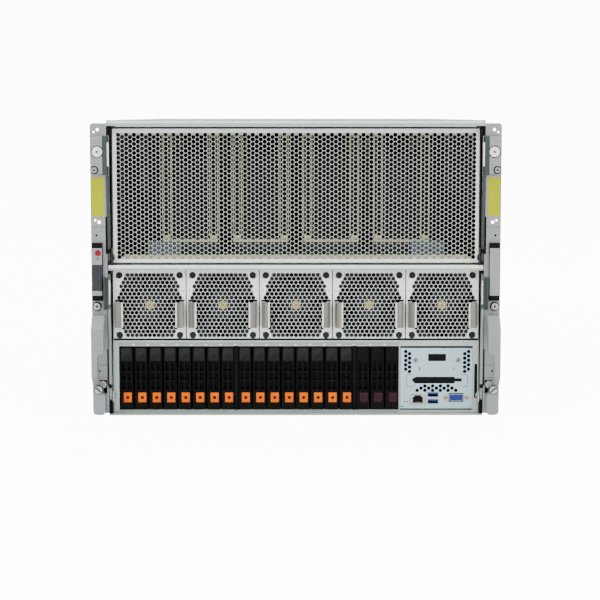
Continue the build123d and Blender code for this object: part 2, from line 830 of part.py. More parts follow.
# Fan rotors: hub with its shaft in the middle of the struts, and flat blades set at an angle
for k, x in enumerate(fan_x, start=1):
    with BuildPart() as fan_rotor:
        with BuildSketch(front(duct_y + tip_gap)):
            with Locations((x, fan_z)):
                RegularPolygon(hub_r, hub_sides)
        extrude(amount=-(fan_depth - strut_depth - tip_gap - slip))
        with BuildSketch(front(duct_y + tip_gap)):
            with Locations((x, fan_z)):
                RegularPolygon(shaft_r, shaft_sides)
        extrude(amount=-(fan_depth - tip_gap))
        for blade in range(blade_count):
            spoke = Plane((x, blade_y, fan_z)).rotated((0, blade * 360 / blade_count, 0))
            with BuildSketch(spoke.offset(hub_r - blade_sheet)):
                Rectangle(blade_sheet, blade_chord, rotation=blade_angle)
            extrude(amount=fan_bore / 2 - tip_gap - hub_r + blade_sheet)
    save(fan_rotor, f"fan_rotor_{k}")

# Rear fan modules: guard, casing, struts, rotor and one flat pull tab, pushed in from behind
guard_y = rear_y + slip + thin
rear_strut_y = guard_y - thin - fan_depth
for k, x in enumerate(fan_x, start=1):
    with BuildPart() as rear_fan:
        with BuildSketch(front(guard_y)):
            with Locations((x, rear_fan_z)):
                Rectangle(fan_pitch - 2 * slip, fan_plate_height)
                with Locations(*honeycomb(guard_cells, guard_cells, guard_pitch)):
                    RegularPolygon(guard_cell * flat_r, 6, mode=Mode.SUBTRACT)
        extrude(amount=thin)
        with BuildSketch(front(guard_y - thin)):
            with Locations((x, rear_fan_z)):
                Rectangle(fan_size, fan_size)
                RegularPolygon(fan_bore / 2, bore_sides, mode=Mode.SUBTRACT)
        extrude(amount=fan_depth)
        with BuildSketch(front(rear_strut_y)):
            with Locations((x, rear_fan_z)):
                Rectangle(fan_bore, strut_width)
                Rectangle(strut_width, fan_bore)
        extrude(amount=-strut_depth)
        with BuildSketch(front(rear_strut_y)):
            with Locations((x, rear_fan_z)):
                RegularPolygon(hub_r, hub_sides)
        extrude(amount=-(fan_depth - tip_gap))
        for blade in range(blade_count):
            spoke = Plane((x, rear_strut_y + fan_depth - fan_bore / 4, rear_fan_z))
            with BuildSketch(spoke.rotated((0, blade * 360 / blade_count, 0)).offset(hub_r - blade_sheet)):
                Rectangle(blade_sheet, blade_chord, rotation=blade_angle)
            extrude(amount=fan_bore / 2 - tip_gap - hub_r + blade_sheet)
        with BuildSketch(Plane.XY.offset(rear_fan_z - grip_height / 2)):
            with Locations((x - fan_pitch / 2 + grip_edge, guard_y)):
                Rectangle(thin, grip_reach, align=corner)
        extrude(amount=grip_height)
    save(rear_fan, f"rear_fan_{k}")

# Power supplies: case with air slots, the inlet for a mains lead, a pull handle and a board edge in front
psu_y = rear_y - psu_length
for row in range(psu_rows):
    for column, side in enumerate((-1, 1)):
        x = side * (psu_side + psu_width / 2)
        z = system_floor + row * psu_pitch + psu_height / 2
        with BuildPart() as psu:
            with BuildSketch(front(rear_y)):
                with Locations((x, z)):
                    Rectangle(psu_width, psu_height)
            extrude(amount=psu_length)
            with BuildSketch(front(rear_y)):
                with Locations((x - psu_width / 4, z)):
                    with GridLocations(0, psu_slot_pitch, 1, psu_slots):
                        Rectangle(psu_width / 2 - psu_margin * 2, psu_slot_pitch / 2)
            extrude(amount=psu_slot_depth, mode=Mode.SUBTRACT)
            with BuildSketch(front(rear_y)):
                with Locations((x + psu_width / 4, z - psu_height / 2 + psu_margin)):
                    Rectangle(inlet_width, inlet_height, align=foot)
            extrude(amount=inlet_depth, mode=Mode.SUBTRACT)
            with BuildSketch(Plane.YZ.offset(x - psu_width / 4)):
                with Locations((rear_y, z - psu_handle_height / 2)):
                    Rectangle(psu_handle_reach, psu_handle_height, align=corner)
                with Locations((rear_y, z - psu_handle_height / 2 + psu_handle_bar)):
                    Rectangle(
                        psu_handle_reach - psu_handle_bar,
                        psu_handle_height - 2 * psu_handle_bar,
                        align=corner,
                        mode=Mode.SUBTRACT,
                    )
            extrude(amount=psu_handle_bar, both=True)
            with BuildSketch(front(psu_y)):
                with Locations((x, z)):
                    Rectangle(psu_width / 2, board_sheet)
            extrude(amount=plug_depth)
        save(psu, f"psu_{row * 2 + column + 1}")

# Drive carriers: bezel with its rails, the drive, the latch lever with its vents, and the release button
for k, x in enumerate(carrier_x):
    vent_rows = 3 if k >= sum(carrier_groups[:-1]) else 2
    latch_foot = bay_z + carrier_height - bezel_margin - latch_height
    with BuildPart() as carrier:
        with BuildSketch(front(carrier_y)):
            with Locations((x, bay_z)):
                Rectangle(carrier_width, carrier_height, align=foot)
            with Locations((x, latch_foot - slip)):
                Rectangle(latch_width + 2 * slip, latch_height + 2 * slip, align=foot, mode=Mode.SUBTRACT)
            with Locations((x + release_offset, release_z)):
                Rectangle(release_width + 2 * slip, release_size + 2 * slip, mode=Mode.SUBTRACT)
        extrude(amount=-bezel_depth)
        with BuildSketch(front(carrier_y + bezel_depth)):
            with Locations((x, bay_z)):
                Rectangle(carrier_width, rail_sheet, align=foot)
            with Locations((x, bay_z + carrier_height)):
                Rectangle(carrier_width, rail_sheet, align=head)
        extrude(amount=bezel_depth - carrier_length)
        with BuildSketch(front(carrier_y + bezel_depth)):
            with Locations((x, bay_z + rail_sheet)):
                Rectangle(drive_width, drive_height, align=foot)
        extrude(amount=-drive_length)
        with BuildSketch(front(carrier_y)):
            with Locations((x, latch_foot)):
                Rectangle(latch_width, latch_height, align=foot)
            for row in range(vent_rows):
                with Locations((x, latch_foot + vent_first + row * vent_pitch)):
                    Rectangle(vent_width, vent_height, mode=Mode.SUBTRACT)
        extrude(amount=-latch_depth)
        with BuildSketch(front(carrier_y)):
            with Locations((x + release_offset, release_z)):
                Rectangle(release_width, release_size)
        extrude(amount=-latch_depth)
    save(carrier, f"drive_carrier_{k:02d}")
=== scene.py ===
import math

import bpy
from mathutils import Matrix, Vector


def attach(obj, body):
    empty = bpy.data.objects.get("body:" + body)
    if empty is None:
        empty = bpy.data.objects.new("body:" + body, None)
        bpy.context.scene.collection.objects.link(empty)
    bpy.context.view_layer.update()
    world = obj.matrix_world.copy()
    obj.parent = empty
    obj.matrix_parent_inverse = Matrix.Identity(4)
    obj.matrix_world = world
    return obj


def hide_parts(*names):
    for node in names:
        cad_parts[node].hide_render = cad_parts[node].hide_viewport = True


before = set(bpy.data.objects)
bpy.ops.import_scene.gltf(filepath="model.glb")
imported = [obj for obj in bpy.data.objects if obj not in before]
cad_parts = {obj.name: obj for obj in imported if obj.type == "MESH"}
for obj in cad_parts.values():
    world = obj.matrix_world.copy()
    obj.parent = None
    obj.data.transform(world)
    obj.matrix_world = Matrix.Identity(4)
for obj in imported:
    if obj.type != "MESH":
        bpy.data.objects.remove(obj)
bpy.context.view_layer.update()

bl_info = {
    "name": "Eight-unit GPU server",
    "version": (1, 0, 0),
    "blender": (4, 5, 0),
    "location": "View3D > Sidebar > Server",
    "description": "Dresses the packed server frame with its sheet metal, fans, drives and sockets",
    "category": "Add Mesh",
}

# All sizes below are in millimetres, in the frame's own axes: X to the right, Y into the depth, Z up.
MM = 0.001

# Planes that the pieces stand on
EAR_Y = -421.5
PANEL_Y = -409.5
FAN_Y = -407.5
REAR_Y = 421.5
SHEET = 1.5
THIN = 1.2
SLIP = 0.3

FAN_PITCH = 87.0
FAN_Z = 130.85
FAN_X = [(k - 2) * FAN_PITCH for k in range(5)]
REAR_FAN_Z = 293.5

CARRIER_PITCH = 17.3
CARRIER_LEFT = -202.3
CARRIER_GAP = 2.75  # extra space after every eighth carrier
CARRIER_X = [CARRIER_LEFT + CARRIER_PITCH * k + CARRIER_GAP * (k // 8) for k in range(19)]
DARK_BAYS = 16

# Rack screws of the right ear
RACK_X = 232.55
RACK_HIGH = 312.9
RACK_LOW = 33.5


def tone(red, green, blue):
    """A colour given as screen values from 0 to 255, as the linear colour that shaders take."""
    colour = (c / 255 for c in (red, green, blue))
    return tuple(c / 12.92 if c <= 0.04 else ((c + 0.055) / 1.055) ** 2.4 for c in colour)


# Modelling by hand: selecting, adding primitives, edit-mode steps, modifiers and copies


def alone(*pieces):
    """Selects only these pieces, the last one active."""
    bpy.ops.object.select_all(action="DESELECT")
    for piece in pieces:
        piece.select_set(True)
    bpy.context.view_layer.objects.active = pieces[-1]


def settle():
    """Puts the new piece's place, turn and scale into its mesh."""
    bpy.ops.object.transform_apply(location=True, rotation=True, scale=True)
    return bpy.context.object


def block(low, high):
    """A cube between two corners."""
    bpy.ops.object.select_all(action="DESELECT")
    middle = [(a + b) / 2 * MM for a, b in zip(low, high)]
    size = [abs(b - a) * MM for a, b in zip(low, high)]
    bpy.ops.mesh.primitive_cube_add(size=1, location=middle, scale=size)
    return settle()


TURNS = {"X": (0, math.pi / 2, 0), "Y": (math.pi / 2, 0, 0), "Z": (0, 0, 0)}
STRAIGHT = 0.9  # least part of a unit direction that counts as along an axis


def rod(middle, radius, length, axis="Y", sides=24):
    """A cylinder round a point, along one axis."""
    bpy.ops.object.select_all(action="DESELECT")
    bpy.ops.mesh.primitive_cylinder_add(vertices=sides, radius=radius * MM, depth=length * MM)
    bpy.context.object.rotation_euler = TURNS[axis]
    bpy.context.object.location = [c * MM for c in middle]
    return settle()


def shape(piece, kind, test, *steps):
    """Selects faces, edges or points by place, in millimetres, and direction, and runs edit-mode steps."""
    alone(piece)
    mesh = piece.data
    bpy.ops.object.mode_set(mode="EDIT")
    bpy.ops.mesh.select_mode(type=kind)
    bpy.ops.mesh.select_all(action="DESELECT")
    bpy.ops.object.mode_set(mode="OBJECT")
    if kind == "FACE":
        for face in mesh.polygons:
            face.select = bool(test(face.center / MM, face.normal))
    elif kind == "VERT":
        for point in mesh.vertices:
            point.select = bool(test(point.co / MM, point.normal))
    else:
        for edge in mesh.edges:
            start, end = (mesh.vertices[i].co / MM for i in edge.vertices)
            edge.select = bool(test((start + end) / 2, (end - start).normalized()))
    bpy.ops.object.mode_set(mode="EDIT")
    for step, settings in steps:
        step(**settings)
    bpy.ops.object.mode_set(mode="OBJECT")
    return piece


def push(x, y, z):
    """An extrude step, with its travel in millimetres."""
    travel = {"value": (x * MM, y * MM, z * MM)}
    return bpy.ops.mesh.extrude_region_move, {"TRANSFORM_OT_translate": travel}


def inset(width, depth=0.0):
    """An inset step."""
    return bpy.ops.mesh.inset, {"thickness": width * MM, "depth": depth * MM, "use_even_offset": True}


def round_edges(width, segments=2):
    """A bevel step for selected edges."""
    return bpy.ops.mesh.bevel, {"offset": width * MM, "segments": segments, "affect": "EDGES"}


def faces(piece, side, *steps, where=None):
    """Runs steps on the faces that look to one side, such as "-Y", and whose middles pass a test."""
    k = "XYZ".index(side[-1])
    sign = -1 if side[0] == "-" else 1
    return shape(piece, "FACE", lambda c, n: n[k] * sign > STRAIGHT and (not where or where(c)), *steps)


def rounded(piece, axis, radius, segments=2, where=None):
    """Rounds the edges that run along one axis and whose middles pass a test."""
    k = "XYZ".index(axis)
    test = lambda c, d: abs(d[k]) > STRAIGHT and (not where or where(c))
    return shape(piece, "EDGE", test, round_edges(radius, segments))


def slice_at(piece, axis, *places):
    """Cuts new edge loops across a whole piece at places along one axis."""
    normal = Vector((axis == "X", axis == "Y", axis == "Z"))
    alone(piece)
    bpy.ops.object.mode_set(mode="EDIT")
    for place in places:
        bpy.ops.mesh.select_all(action="SELECT")
        bpy.ops.mesh.bisect(plane_co=normal * place * MM, plane_no=normal)
    bpy.ops.object.mode_set(mode="OBJECT")
    return piece


def modify(piece, kind, **settings):
    """Adds a modifier and applies it."""
    alone(piece)
    modifier = piece.modifiers.new(kind.title(), kind)
    for key, value in settings.items():
        setattr(modifier, key, value)
    bpy.ops.object.modifier_apply(modifier=modifier.name)
    return piece


def soften(piece, width, segments=2, angle=30.0):
    """Rounds every edge that is sharper than an angle."""
    limit = {"limit_method": "ANGLE", "angle_limit": math.radians(angle)}
    return modify(piece, "BEVEL", width=width * MM, segments=segments, use_clamp_overlap=True, **limit)


def cut(piece, cutter, solver="EXACT"):
    """Takes the cutter's space out of a piece and removes the cutter."""
    modify(piece, "BOOLEAN", operation="DIFFERENCE", object=cutter, solver=solver)
    bpy.data.objects.remove(cutter)
    return piece


def join(*parts):
    """Makes several parts one object."""
    alone(*parts)
    bpy.ops.object.join()
    return bpy.context.object


def copied(piece, move=(0, 0, 0)):
    """A copy with its own mesh, moved in millimetres."""
    copy = piece.copy()
    copy.data = piece.data.copy()
    bpy.context.collection.objects.link(copy)
    copy.data.transform(Matrix.Translation(Vector(move) * MM))
    return copy


def turned(piece, degrees, axis, point):
    """Turns a piece round an axis through a point."""
    centre = Matrix.Translation(Vector(point) * MM)
    piece.data.transform(centre @ Matrix.Rotation(math.radians(degrees), 4, axis) @ centre.inverted())
    return piece


def scattered(piece, moves):
    """Joins copies of a piece at several places into one object."""
    parts = [copied(piece, move) for move in moves]
    bpy.data.objects.remove(piece)
    return join(*parts)


def cross(x, z, front, back, reach, width):
    """The two bars of a cross in a screw head, between two depths."""
    bars = ((width / 2, reach), (reach, width / 2))
    return [block((x - a, front, z - b), (x + a, back, z + b)) for a, b in bars]


def cross_floor(x, z, front, reach, width):
    """Thin bottom of a cross recess, painted black as shade in the recess."""
    upright, flat = cross(x, z, front, front + 0.2, reach, width)
    cut(flat, copied(upright))
    return join(flat, upright)


def mirrored(piece):
    """A copy on the other side of the middle plane, with its faces outwards."""
    copy = copied(piece)
    copy.data.transform(Matrix.Scale(-1, 4, (1, 0, 0)))
    copy.data.flip_normals()
    return copy


def done(piece, name, paint, slot, body, *nodes):
    """Names and paints a finished piece, which rides on its body in place of the nodes it stands for."""
    piece.name = name
    piece.data.name = name
    piece.data.materials.clear()
    piece.data.materials.append(PAINTS[paint])
    alone(piece)
    bpy.ops.object.shade_smooth_by_angle(angle=math.radians(30))
    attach(piece, body)
    if nodes:
        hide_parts(*nodes)


def both(piece, name, *about):
    """Finishes a piece on the right and its mirror image on the left."""
    done(mirrored(piece), name + "_left", *about)
    done(piece, name + "_right", *about)


# Materials


class Value:
    """A number that varies over a surface: arithmetic on it adds Math nodes."""

    def __init__(self, paint, socket):
        self.paint = paint
        self.socket = socket

    def math(self, operation, first, second):
        """A Math node's result."""
        made = self.paint.node("Math", {"operation": operation}, {0: first, 1: second})
        return Value(self.paint, made.outputs[0])

    def __add__(self, other):
        return self.math("ADD", self, other)

    def __sub__(self, other):
        return self.math("SUBTRACT", self, other)

    def __mul__(self, other):
        return self.math("MULTIPLY", self, other)

    def __radd__(self, other):
        return self.math("ADD", other, self)

    def __rsub__(self, other):
        return self.math("SUBTRACT", other, self)

    def size(self):
        """The value without its sign."""
        return self.math("ABSOLUTE", self, 0.0)

    def wrapped(self, pitch):
        """What is left of the value after whole steps of a pitch."""
        return self.math("MODULO", self, pitch)

    def over(self, limit):
        """1 where the value is over a limit, else 0."""
        return self.math("GREATER_THAN", self, limit)


class Paint:
    """One procedural material."""

    def __init__(self, name):
        self.material = bpy.data.materials.new(name)
        self.material.use_nodes = True
        self.tree = self.material.node_tree
        self.tree.nodes.clear()
        self.place = self.node("TexCoord").outputs["Object"]

    def node(self, kind, settings=None, sockets=None):
        """Adds a node: its settings first, then the values or links of its sockets."""
        made = self.tree.nodes.new("ShaderNode" + kind)
        for key, value in (settings or {}).items():
            setattr(made, key, value)
        for key, value in (sockets or {}).items():
            if isinstance(value, Value):
                value = value.socket
            if isinstance(value, bpy.types.NodeSocket):
                self.tree.links.new(value, made.inputs[key])
            else:
                made.inputs[key].default_value = value
        return made

    def axes(self, *names):
        """The place along some axes, in metres."""
        place = self.node("SeparateXYZ", None, {"Vector": self.place})
        return [Value(self, place.outputs[name]) for name in names]

    def grain(self, scale, stretch=(1, 1, 1), detail=3.0, roughness=0.6):
        """Fractal noise from 0 to 1, with its pattern stretched along an axis by small factors."""
        place = self.node("Mapping", None, {"Vector": self.place, "Scale": stretch}).outputs[0]
        sockets = {"Vector": place, "Scale": scale, "Detail": detail, "Roughness": roughness}
        return Value(self, self.node("TexNoise", None, sockets).outputs[0])

    def spangle(self, scale):
        """Crystal patches of zinc, each with one value from 0 to 1."""
        made = self.node("TexVoronoi", {"feature": "F1"}, {"Vector": self.place, "Scale": scale})
        return Value(self, self.node("SeparateColor", None, {"Color": made.outputs["Color"]}).outputs[0])

    def blend(self, mask, first, second):
        """A colour between two colours by a mask."""
        made = self.node("Mix", {"data_type": "RGBA"}, {"Factor": mask})
        for socket, value in ((made.inputs[6], first), (made.inputs[7], second)):
            if isinstance(value, bpy.types.NodeSocket):
                self.tree.links.new(value, socket)
            else:
                socket.default_value = (*value, 1)
        return made.outputs[2]

    def finish(self, colour, roughness, height=None, depth=0.0, **fixed):
        """Ends the material in a Principled shader with an optional bump, its depth in millimetres."""
        sockets = {"Base Color": colour, "Roughness": roughness, **fixed}
        if height is not None:
            bump = {"Height": height, "Distance": depth * MM, "Strength": 1.0}
            sockets["Normal"] = self.node("Bump", None, bump).outputs[0]
        if isinstance(colour, tuple):
            sockets["Base Color"] = (*colour, 1)
        shader = self.node("BsdfPrincipled", None, sockets)
        self.node("OutputMaterial", None, {"Surface": shader.outputs[0]})
        return self.material


def shade(colour, factor):
    """A darker or lighter step of a colour."""
    return tuple(min(1.0, c * factor) for c in colour)


# Scales of the noise in all metals
GRAIN = 900.0
CLOUD = 9.0


def metal(name, colour, rough=0.4, stretch=(1, 1, 1), patches=0.0, metallic=0.85, depth=0.01):
    """Sheet, brushed or cast metal: fine grain, faint patches and worn gloss."""
    paint = Paint(name)
    grain = paint.grain(GRAIN, stretch)
    cloud = paint.grain(CLOUD)
    mask = grain * 0.5 + cloud * 0.5
    if patches:
        mask = mask * (1 - patches) + paint.spangle(90.0) * patches
    tint = paint.blend(mask, shade(colour, 0.88), shade(colour, 1.08))
    return paint.finish(tint, rough - 0.1 + cloud * 0.12 + grain * 0.08, grain, depth, Metallic=metallic)


def webbed(paint, inside, colour, shaded_web, gloss):
    """Ends the material of a sheet whose webs are darker inside its field of holes, as painted shade for the
    dark holes.
    """
    grain = paint.grain(GRAIN)
    cloud = paint.grain(CLOUD)
    mottle = grain * 0.5 + cloud * 0.5
    outer = paint.blend(mottle, shade(colour, 0.92), shade(colour, 1.08))
    inner = paint.blend(mottle, shade(shaded_web, 0.9), shade(shaded_web, 1.1))
    rough = gloss[0] + cloud * gloss[1] + grain * 0.08
    return paint.finish(paint.blend(inside, outer, inner), rough, grain, 0.01, Metallic=0.1)


def perforated(name, colour, shaded_web, low, high):
    """Sheet with one field of holes, between two corners given as x and z in millimetres, its webs darker
    there as painted shade.
    """
    paint = Paint(name)
    x, z = paint.axes("X", "Z")
    inside = x.over(low[0] * MM) * (1 - x.over(high[0] * MM))
    inside = inside * z.over(low[1] * MM) * (1 - z.over(high[1] * MM))
    return webbed(paint, inside, colour, shaded_web, (0.37, 0.12))


def guarded(name, colour, shaded_web):
    """Sheet of the fan guards, with a field of holes for each of the five fans, its webs darker there as
    painted shade.
    """
    paint = Paint(name)
    x, z = paint.axes("X", "Z")
    across = ((x + 2.5 * FAN_PITCH * MM).wrapped(FAN_PITCH * MM) - FAN_PITCH / 2 * MM).size()
    up = (z - FAN_Z * MM).size()
    inside = (1 - (across + up * 0.3).over(40.6 * MM)) * (1 - up.over(38.6 * MM))
    return webbed(paint, inside, colour, shaded_web, (0.4, 0.0))


def streaked(name, dark, light):
    """Sheet with broad upright streaks between a dark tone of painted shade and a lighter tone, over a
    brushed grain.
    """
    paint = Paint(name)
    streaks = paint.grain(260.0, (1, 1, 0.02), 2.0)
    grain = paint.grain(GRAIN, (1, 1, 0.06))
    tint = paint.blend(streaks * 1.6 - 0.3, dark, light)
    return paint.finish(tint, 0.34 + grain * 0.1, grain, 0.01, Metallic=0.5)


def plastic(name, colour, rough=0.45, specular=0.5, depth=0.02):
    """Moulded plastic or rubber: a fine pebble and slightly uneven gloss."""
    paint = Paint(name)
    pebble = paint.grain(2200.0)
    cloud = paint.grain(25.0)
    tint = paint.blend(cloud, shade(colour, 0.85), shade(colour, 1.15))
    fixed = {"Specular IOR Level": specular}
    return paint.finish(tint, rough - 0.06 + cloud * 0.12, pebble, depth, **fixed)


def circuit(name, colour):
    """Solder mask with traces under it."""
    paint = Paint(name)
    lanes = paint.grain(160.0, (1, 0.08, 1), 1.0)
    tint = paint.blend(lanes.over(0.52), colour, shade(colour, 1.7))
    return paint.finish(tint, 0.35 + paint.grain(60.0) * 0.1, lanes, 0.03)


WHITE = tone(244, 252, 249)
PAINTS = {
    "cover": metal("cover_sheet", tone(172, 184, 176), 0.42, patches=0.35, metallic=0.4),
    "galvanised": metal("galvanised_sheet", tone(180, 190, 185), 0.42, patches=0.45, metallic=0.5),
    "ear": metal("ear_sheet", tone(146, 147, 148), 0.45, (1, 1, 0.06), metallic=0.4),
    "cast": metal("cast_alloy", tone(142, 147, 150), 0.5, metallic=0.45, depth=0.04),
    "grille": metal("perforated_sheet", WHITE, 0.45, patches=0.2, metallic=0.1),
    # Painted highlight: near-white strips on the fan grips' edges, the lever grips, the shelf edge and the
    # drive bay nubs
    "lip": metal("highlight_edge", tone(250, 250, 244), 0.35, (0.05, 1, 1), metallic=0.2),
    "screw": metal("nickel_plate", tone(188, 190, 190), 0.28, metallic=0.9),
    "lever": metal("lever_sheet", tone(146, 158, 150), 0.4, (1, 1, 0.08), metallic=0.5),
    "shaded": metal("shaded_lever", tone(58, 68, 62), 0.45, (1, 1, 0.08), metallic=0.5),
    # Painted shade: the grille's and the guards' webs are darker inside their fields of holes
    "field": perforated("grille_face_shaded_webs", WHITE, tone(166, 170, 162), (-211.6, 186.0), (211.6, 335.2)),
    "guard": guarded("guard_face_shaded_webs", WHITE, tone(184, 192, 188)),
    # Painted highlight: a bluish-white band along the cover's front top edge
    "edge": metal("cover_edge_highlight", tone(232, 236, 252), 0.35, (0.05, 1, 1), metallic=0.1),
    "straw": plastic("hub_label", tone(170, 156, 96), 0.5),
    # Painted highlight: the upper rack screw's head is near white
    "bright": metal("highlight_disc", tone(244, 244, 240), 0.35, metallic=0.2),
    # Painted shade: the fan grips and pull tabs are dark, for their faces in shade
    "grip": streaked("grip_sheet_painted_shade", tone(44, 44, 38), tone(158, 158, 146)),
    "lamp": plastic("green_lamp", tone(60, 200, 90), 0.3),
    "cream": metal("pale_frame", tone(206, 200, 164), 0.5, metallic=0.1),
    # Painted shade: coolers, drive cases and supply cases are near black, for the shade inside the chassis
    "sink": metal("heat_sink_painted_shade", tone(44, 48, 50), 0.45, (1, 0.1, 1), metallic=0.6),
    "ice": metal("pale_block", tone(116, 134, 142), 0.45, metallic=0.3),
    # Painted shade: the inner sheet is near black, for the shade inside the GPU tray
    "inside": metal("inner_sheet_painted_shade", tone(34, 36, 36), 0.5, patches=0.3, metallic=0.4),
    "gold": metal("gold_plate", tone(206, 170, 110), 0.3, metallic=0.95),
    "board": circuit("circuit_board", tone(38, 74, 52)),
    # Black plastic of the carriers and sockets, and painted shade: black blocks and strips behind holes, in
    # gaps and in recesses
    "black": plastic("black_plastic_and_shade", tone(1, 1, 2), 0.4, 0.12),
    "cap": plastic("cap_plastic", tone(5, 6, 8), 0.3, 0.3),
    "fan": plastic("fan_plastic", tone(10, 11, 12), 0.4, 0.25),
    "rubber": plastic("rubber_boss", tone(22, 28, 31), 0.6, 0.25),
    "smoked": plastic("smoked_window", tone(40, 42, 46), 0.4, 0.3, depth=0.0),
    "band": plastic("dark_band", tone(5, 5, 5), 0.5, 0.12),
    "orange": plastic("orange_release", tone(222, 98, 0), 0.45, 0.05),
    "amber": plastic("brown_dot", tone(70, 22, 2), 0.4, 0.1),
    "maroon": plastic("maroon_release", tone(44, 14, 24), 0.45, 0.2),
    "red": plastic("red_button", tone(134, 14, 18), 0.35, 0.2),
    "blue": plastic("blue_insert", tone(10, 34, 130), 0.4),
    "label": plastic("yellow_label", tone(164, 168, 0), 0.6, 0.02, depth=0.005),
    "io": metal("port_plate", tone(178, 206, 216), 0.42, (0.3, 1, 1), metallic=0.3),
}


class ServerStage(bpy.types.PropertyGroup):
    """Floor, light and camera."""

    lens: bpy.props.FloatProperty(name="Lens", description="Focal length in millimetres", default=104.7)
    distance: bpy.props.FloatProperty(
        name="Distance", description="From the ears to the camera", default=2.05, unit="LENGTH"
    )
    height: bpy.props.FloatProperty(
        name="Height", description="Of the camera over the floor", default=0.3554, unit="LENGTH"
    )
    pitch: bpy.props.FloatProperty(
        name="Pitch", description="Camera's look down", default=math.radians(6.04), subtype="ANGLE"
    )
    yaw: bpy.props.FloatProperty(
        name="Yaw", description="Camera's look left", default=math.radians(-0.134), subtype="ANGLE"
    )
    floor: bpy.props.FloatVectorProperty(
        name="Floor", description="Colour of the floor", default=(0.9, 0.9, 0.9), subtype="COLOR"
    )
    sky: bpy.props.FloatProperty(name="Sky", description="Light from above", default=1.5)
    horizon: bpy.props.FloatProperty(name="Horizon", description="Light from the sides", default=0.3)
    backdrop: bpy.props.FloatProperty(name="Backdrop", description="Light behind the server", default=12.0)


class ServerSizes(bpy.types.PropertyGroup):
    """Sizes of the repeated details."""

    grille_hole: bpy.props.FloatProperty(
        name="Grille hole", description="Diameter of a hole in the grille", default=0.0051, unit="LENGTH"
    )
    guard_hole: bpy.props.FloatProperty(
        name="Guard hole", description="Diameter of a hole in a fan guard", default=0.0049, unit="LENGTH"
    )
    hole_sides: bpy.props.IntProperty(
        name="Hole sides", description="Faces round a punched hole", default=10, min=6
    )


class SERVER_OT_stage(bpy.types.Operator):
    """Lays the floor, sets the soft lights and places the camera"""

    bl_idname = "server.stage"
    bl_label = "Stage"

    def brighten(self, paint, strength):
        """Lets the camera see the floor brighter than it lights the server."""
        output = next(n for n in paint.tree.nodes if n.type == "OUTPUT_MATERIAL")
        shader = next(n for n in paint.tree.nodes if n.type == "BSDF_PRINCIPLED")
        glow = paint.node("Emission", None, {"Color": (1, 1, 1, 1), "Strength": strength})
        sum_up = paint.node("AddShader", None, {0: shader.outputs[0], 1: glow.outputs[0]})
        rays = paint.node("LightPath").outputs["Is Camera Ray"]
        mix = paint.node("MixShader", None, {0: rays, 1: shader.outputs[0], 2: sum_up.outputs[0]})
        paint.tree.links.new(mix.outputs[0], output.inputs[0])

    def execute(self, context):
        stage = context.scene.server_stage
        bpy.ops.object.select_all(action="DESELECT")
        bpy.ops.mesh.primitive_plane_add(size=60)
        floor = context.object
        floor.name = "floor"
        paint = Paint("pale_floor")
        cloud = paint.grain(0.6)
        tint = paint.blend(cloud, shade(tuple(stage.floor), 0.99), shade(tuple(stage.floor), 1.01))
        floor.data.materials.append(paint.finish(tint, 0.7 + cloud * 0.05))
        self.brighten(paint, stage.backdrop)

        world = bpy.data.worlds.new("studio")
        world.use_nodes = True
        tree = world.node_tree
        tree.nodes.clear()
        rays = tree.nodes.new("ShaderNodeLightPath")
        mix = tree.nodes.new("ShaderNodeMixShader")
        out = tree.nodes.new("ShaderNodeOutputWorld")
        tree.links.new(rays.outputs["Is Camera Ray"], mix.inputs[0])
        place = tree.nodes.new("ShaderNodeTexCoord")
        split = tree.nodes.new("ShaderNodeSeparateXYZ")
        height = tree.nodes.new("ShaderNodeMapRange")
        height.inputs["From Min"].default_value = -0.1
        height.inputs["From Max"].default_value = 0.7
        dome = tree.nodes.new("ShaderNodeMixShader")
        tree.links.new(place.outputs["Generated"], split.inputs[0])
        tree.links.new(split.outputs["Z"], height.inputs["Value"])
        tree.links.new(height.outputs[0], dome.inputs[0])
        for target, slot, strength in (
            (dome, 1, stage.horizon), (dome, 2, stage.sky), (mix, 2, stage.backdrop),
        ):
            sky = tree.nodes.new("ShaderNodeBackground")
            sky.inputs[0].default_value = (1, 1, 1, 1)
            sky.inputs[1].default_value = strength
            tree.links.new(sky.outputs[0], target.inputs[slot])
        tree.links.new(dome.outputs[0], mix.inputs[1])
        tree.links.new(mix.outputs[0], out.inputs[0])
        context.scene.world = world
        for name, place, size, power in (
            ("key", (-1.6, -2.6, 2.6), 2.2, 110),
            ("fill", (2.2, -2.4, 1.4), 2.4, 50),
            ("back", (0.4, 1.8, 2.8), 2.5, 40),
        ):
            light = bpy.data.lights.new(name, "AREA")
            light.size = size
            light.energy = power
            lamp = bpy.data.objects.new(name, light)
            lamp.location = place
            lamp.rotation_euler = (Vector((0, 0, 0.2)) - Vector(place)).to_track_quat("-Z", "Y").to_euler()
            context.scene.collection.objects.link(lamp)

        lens = bpy.data.cameras.new("camera")
        lens.lens = stage.lens
        lens.sensor_width = 36
        camera = bpy.data.objects.new("camera", lens)
        camera.location = (0, EAR_Y * MM - stage.distance, stage.height)
        camera.rotation_euler = (math.pi / 2 - stage.pitch, 0, stage.yaw)
        context.scene.collection.objects.link(camera)
        context.scene.camera = camera
        return {"FINISHED"}


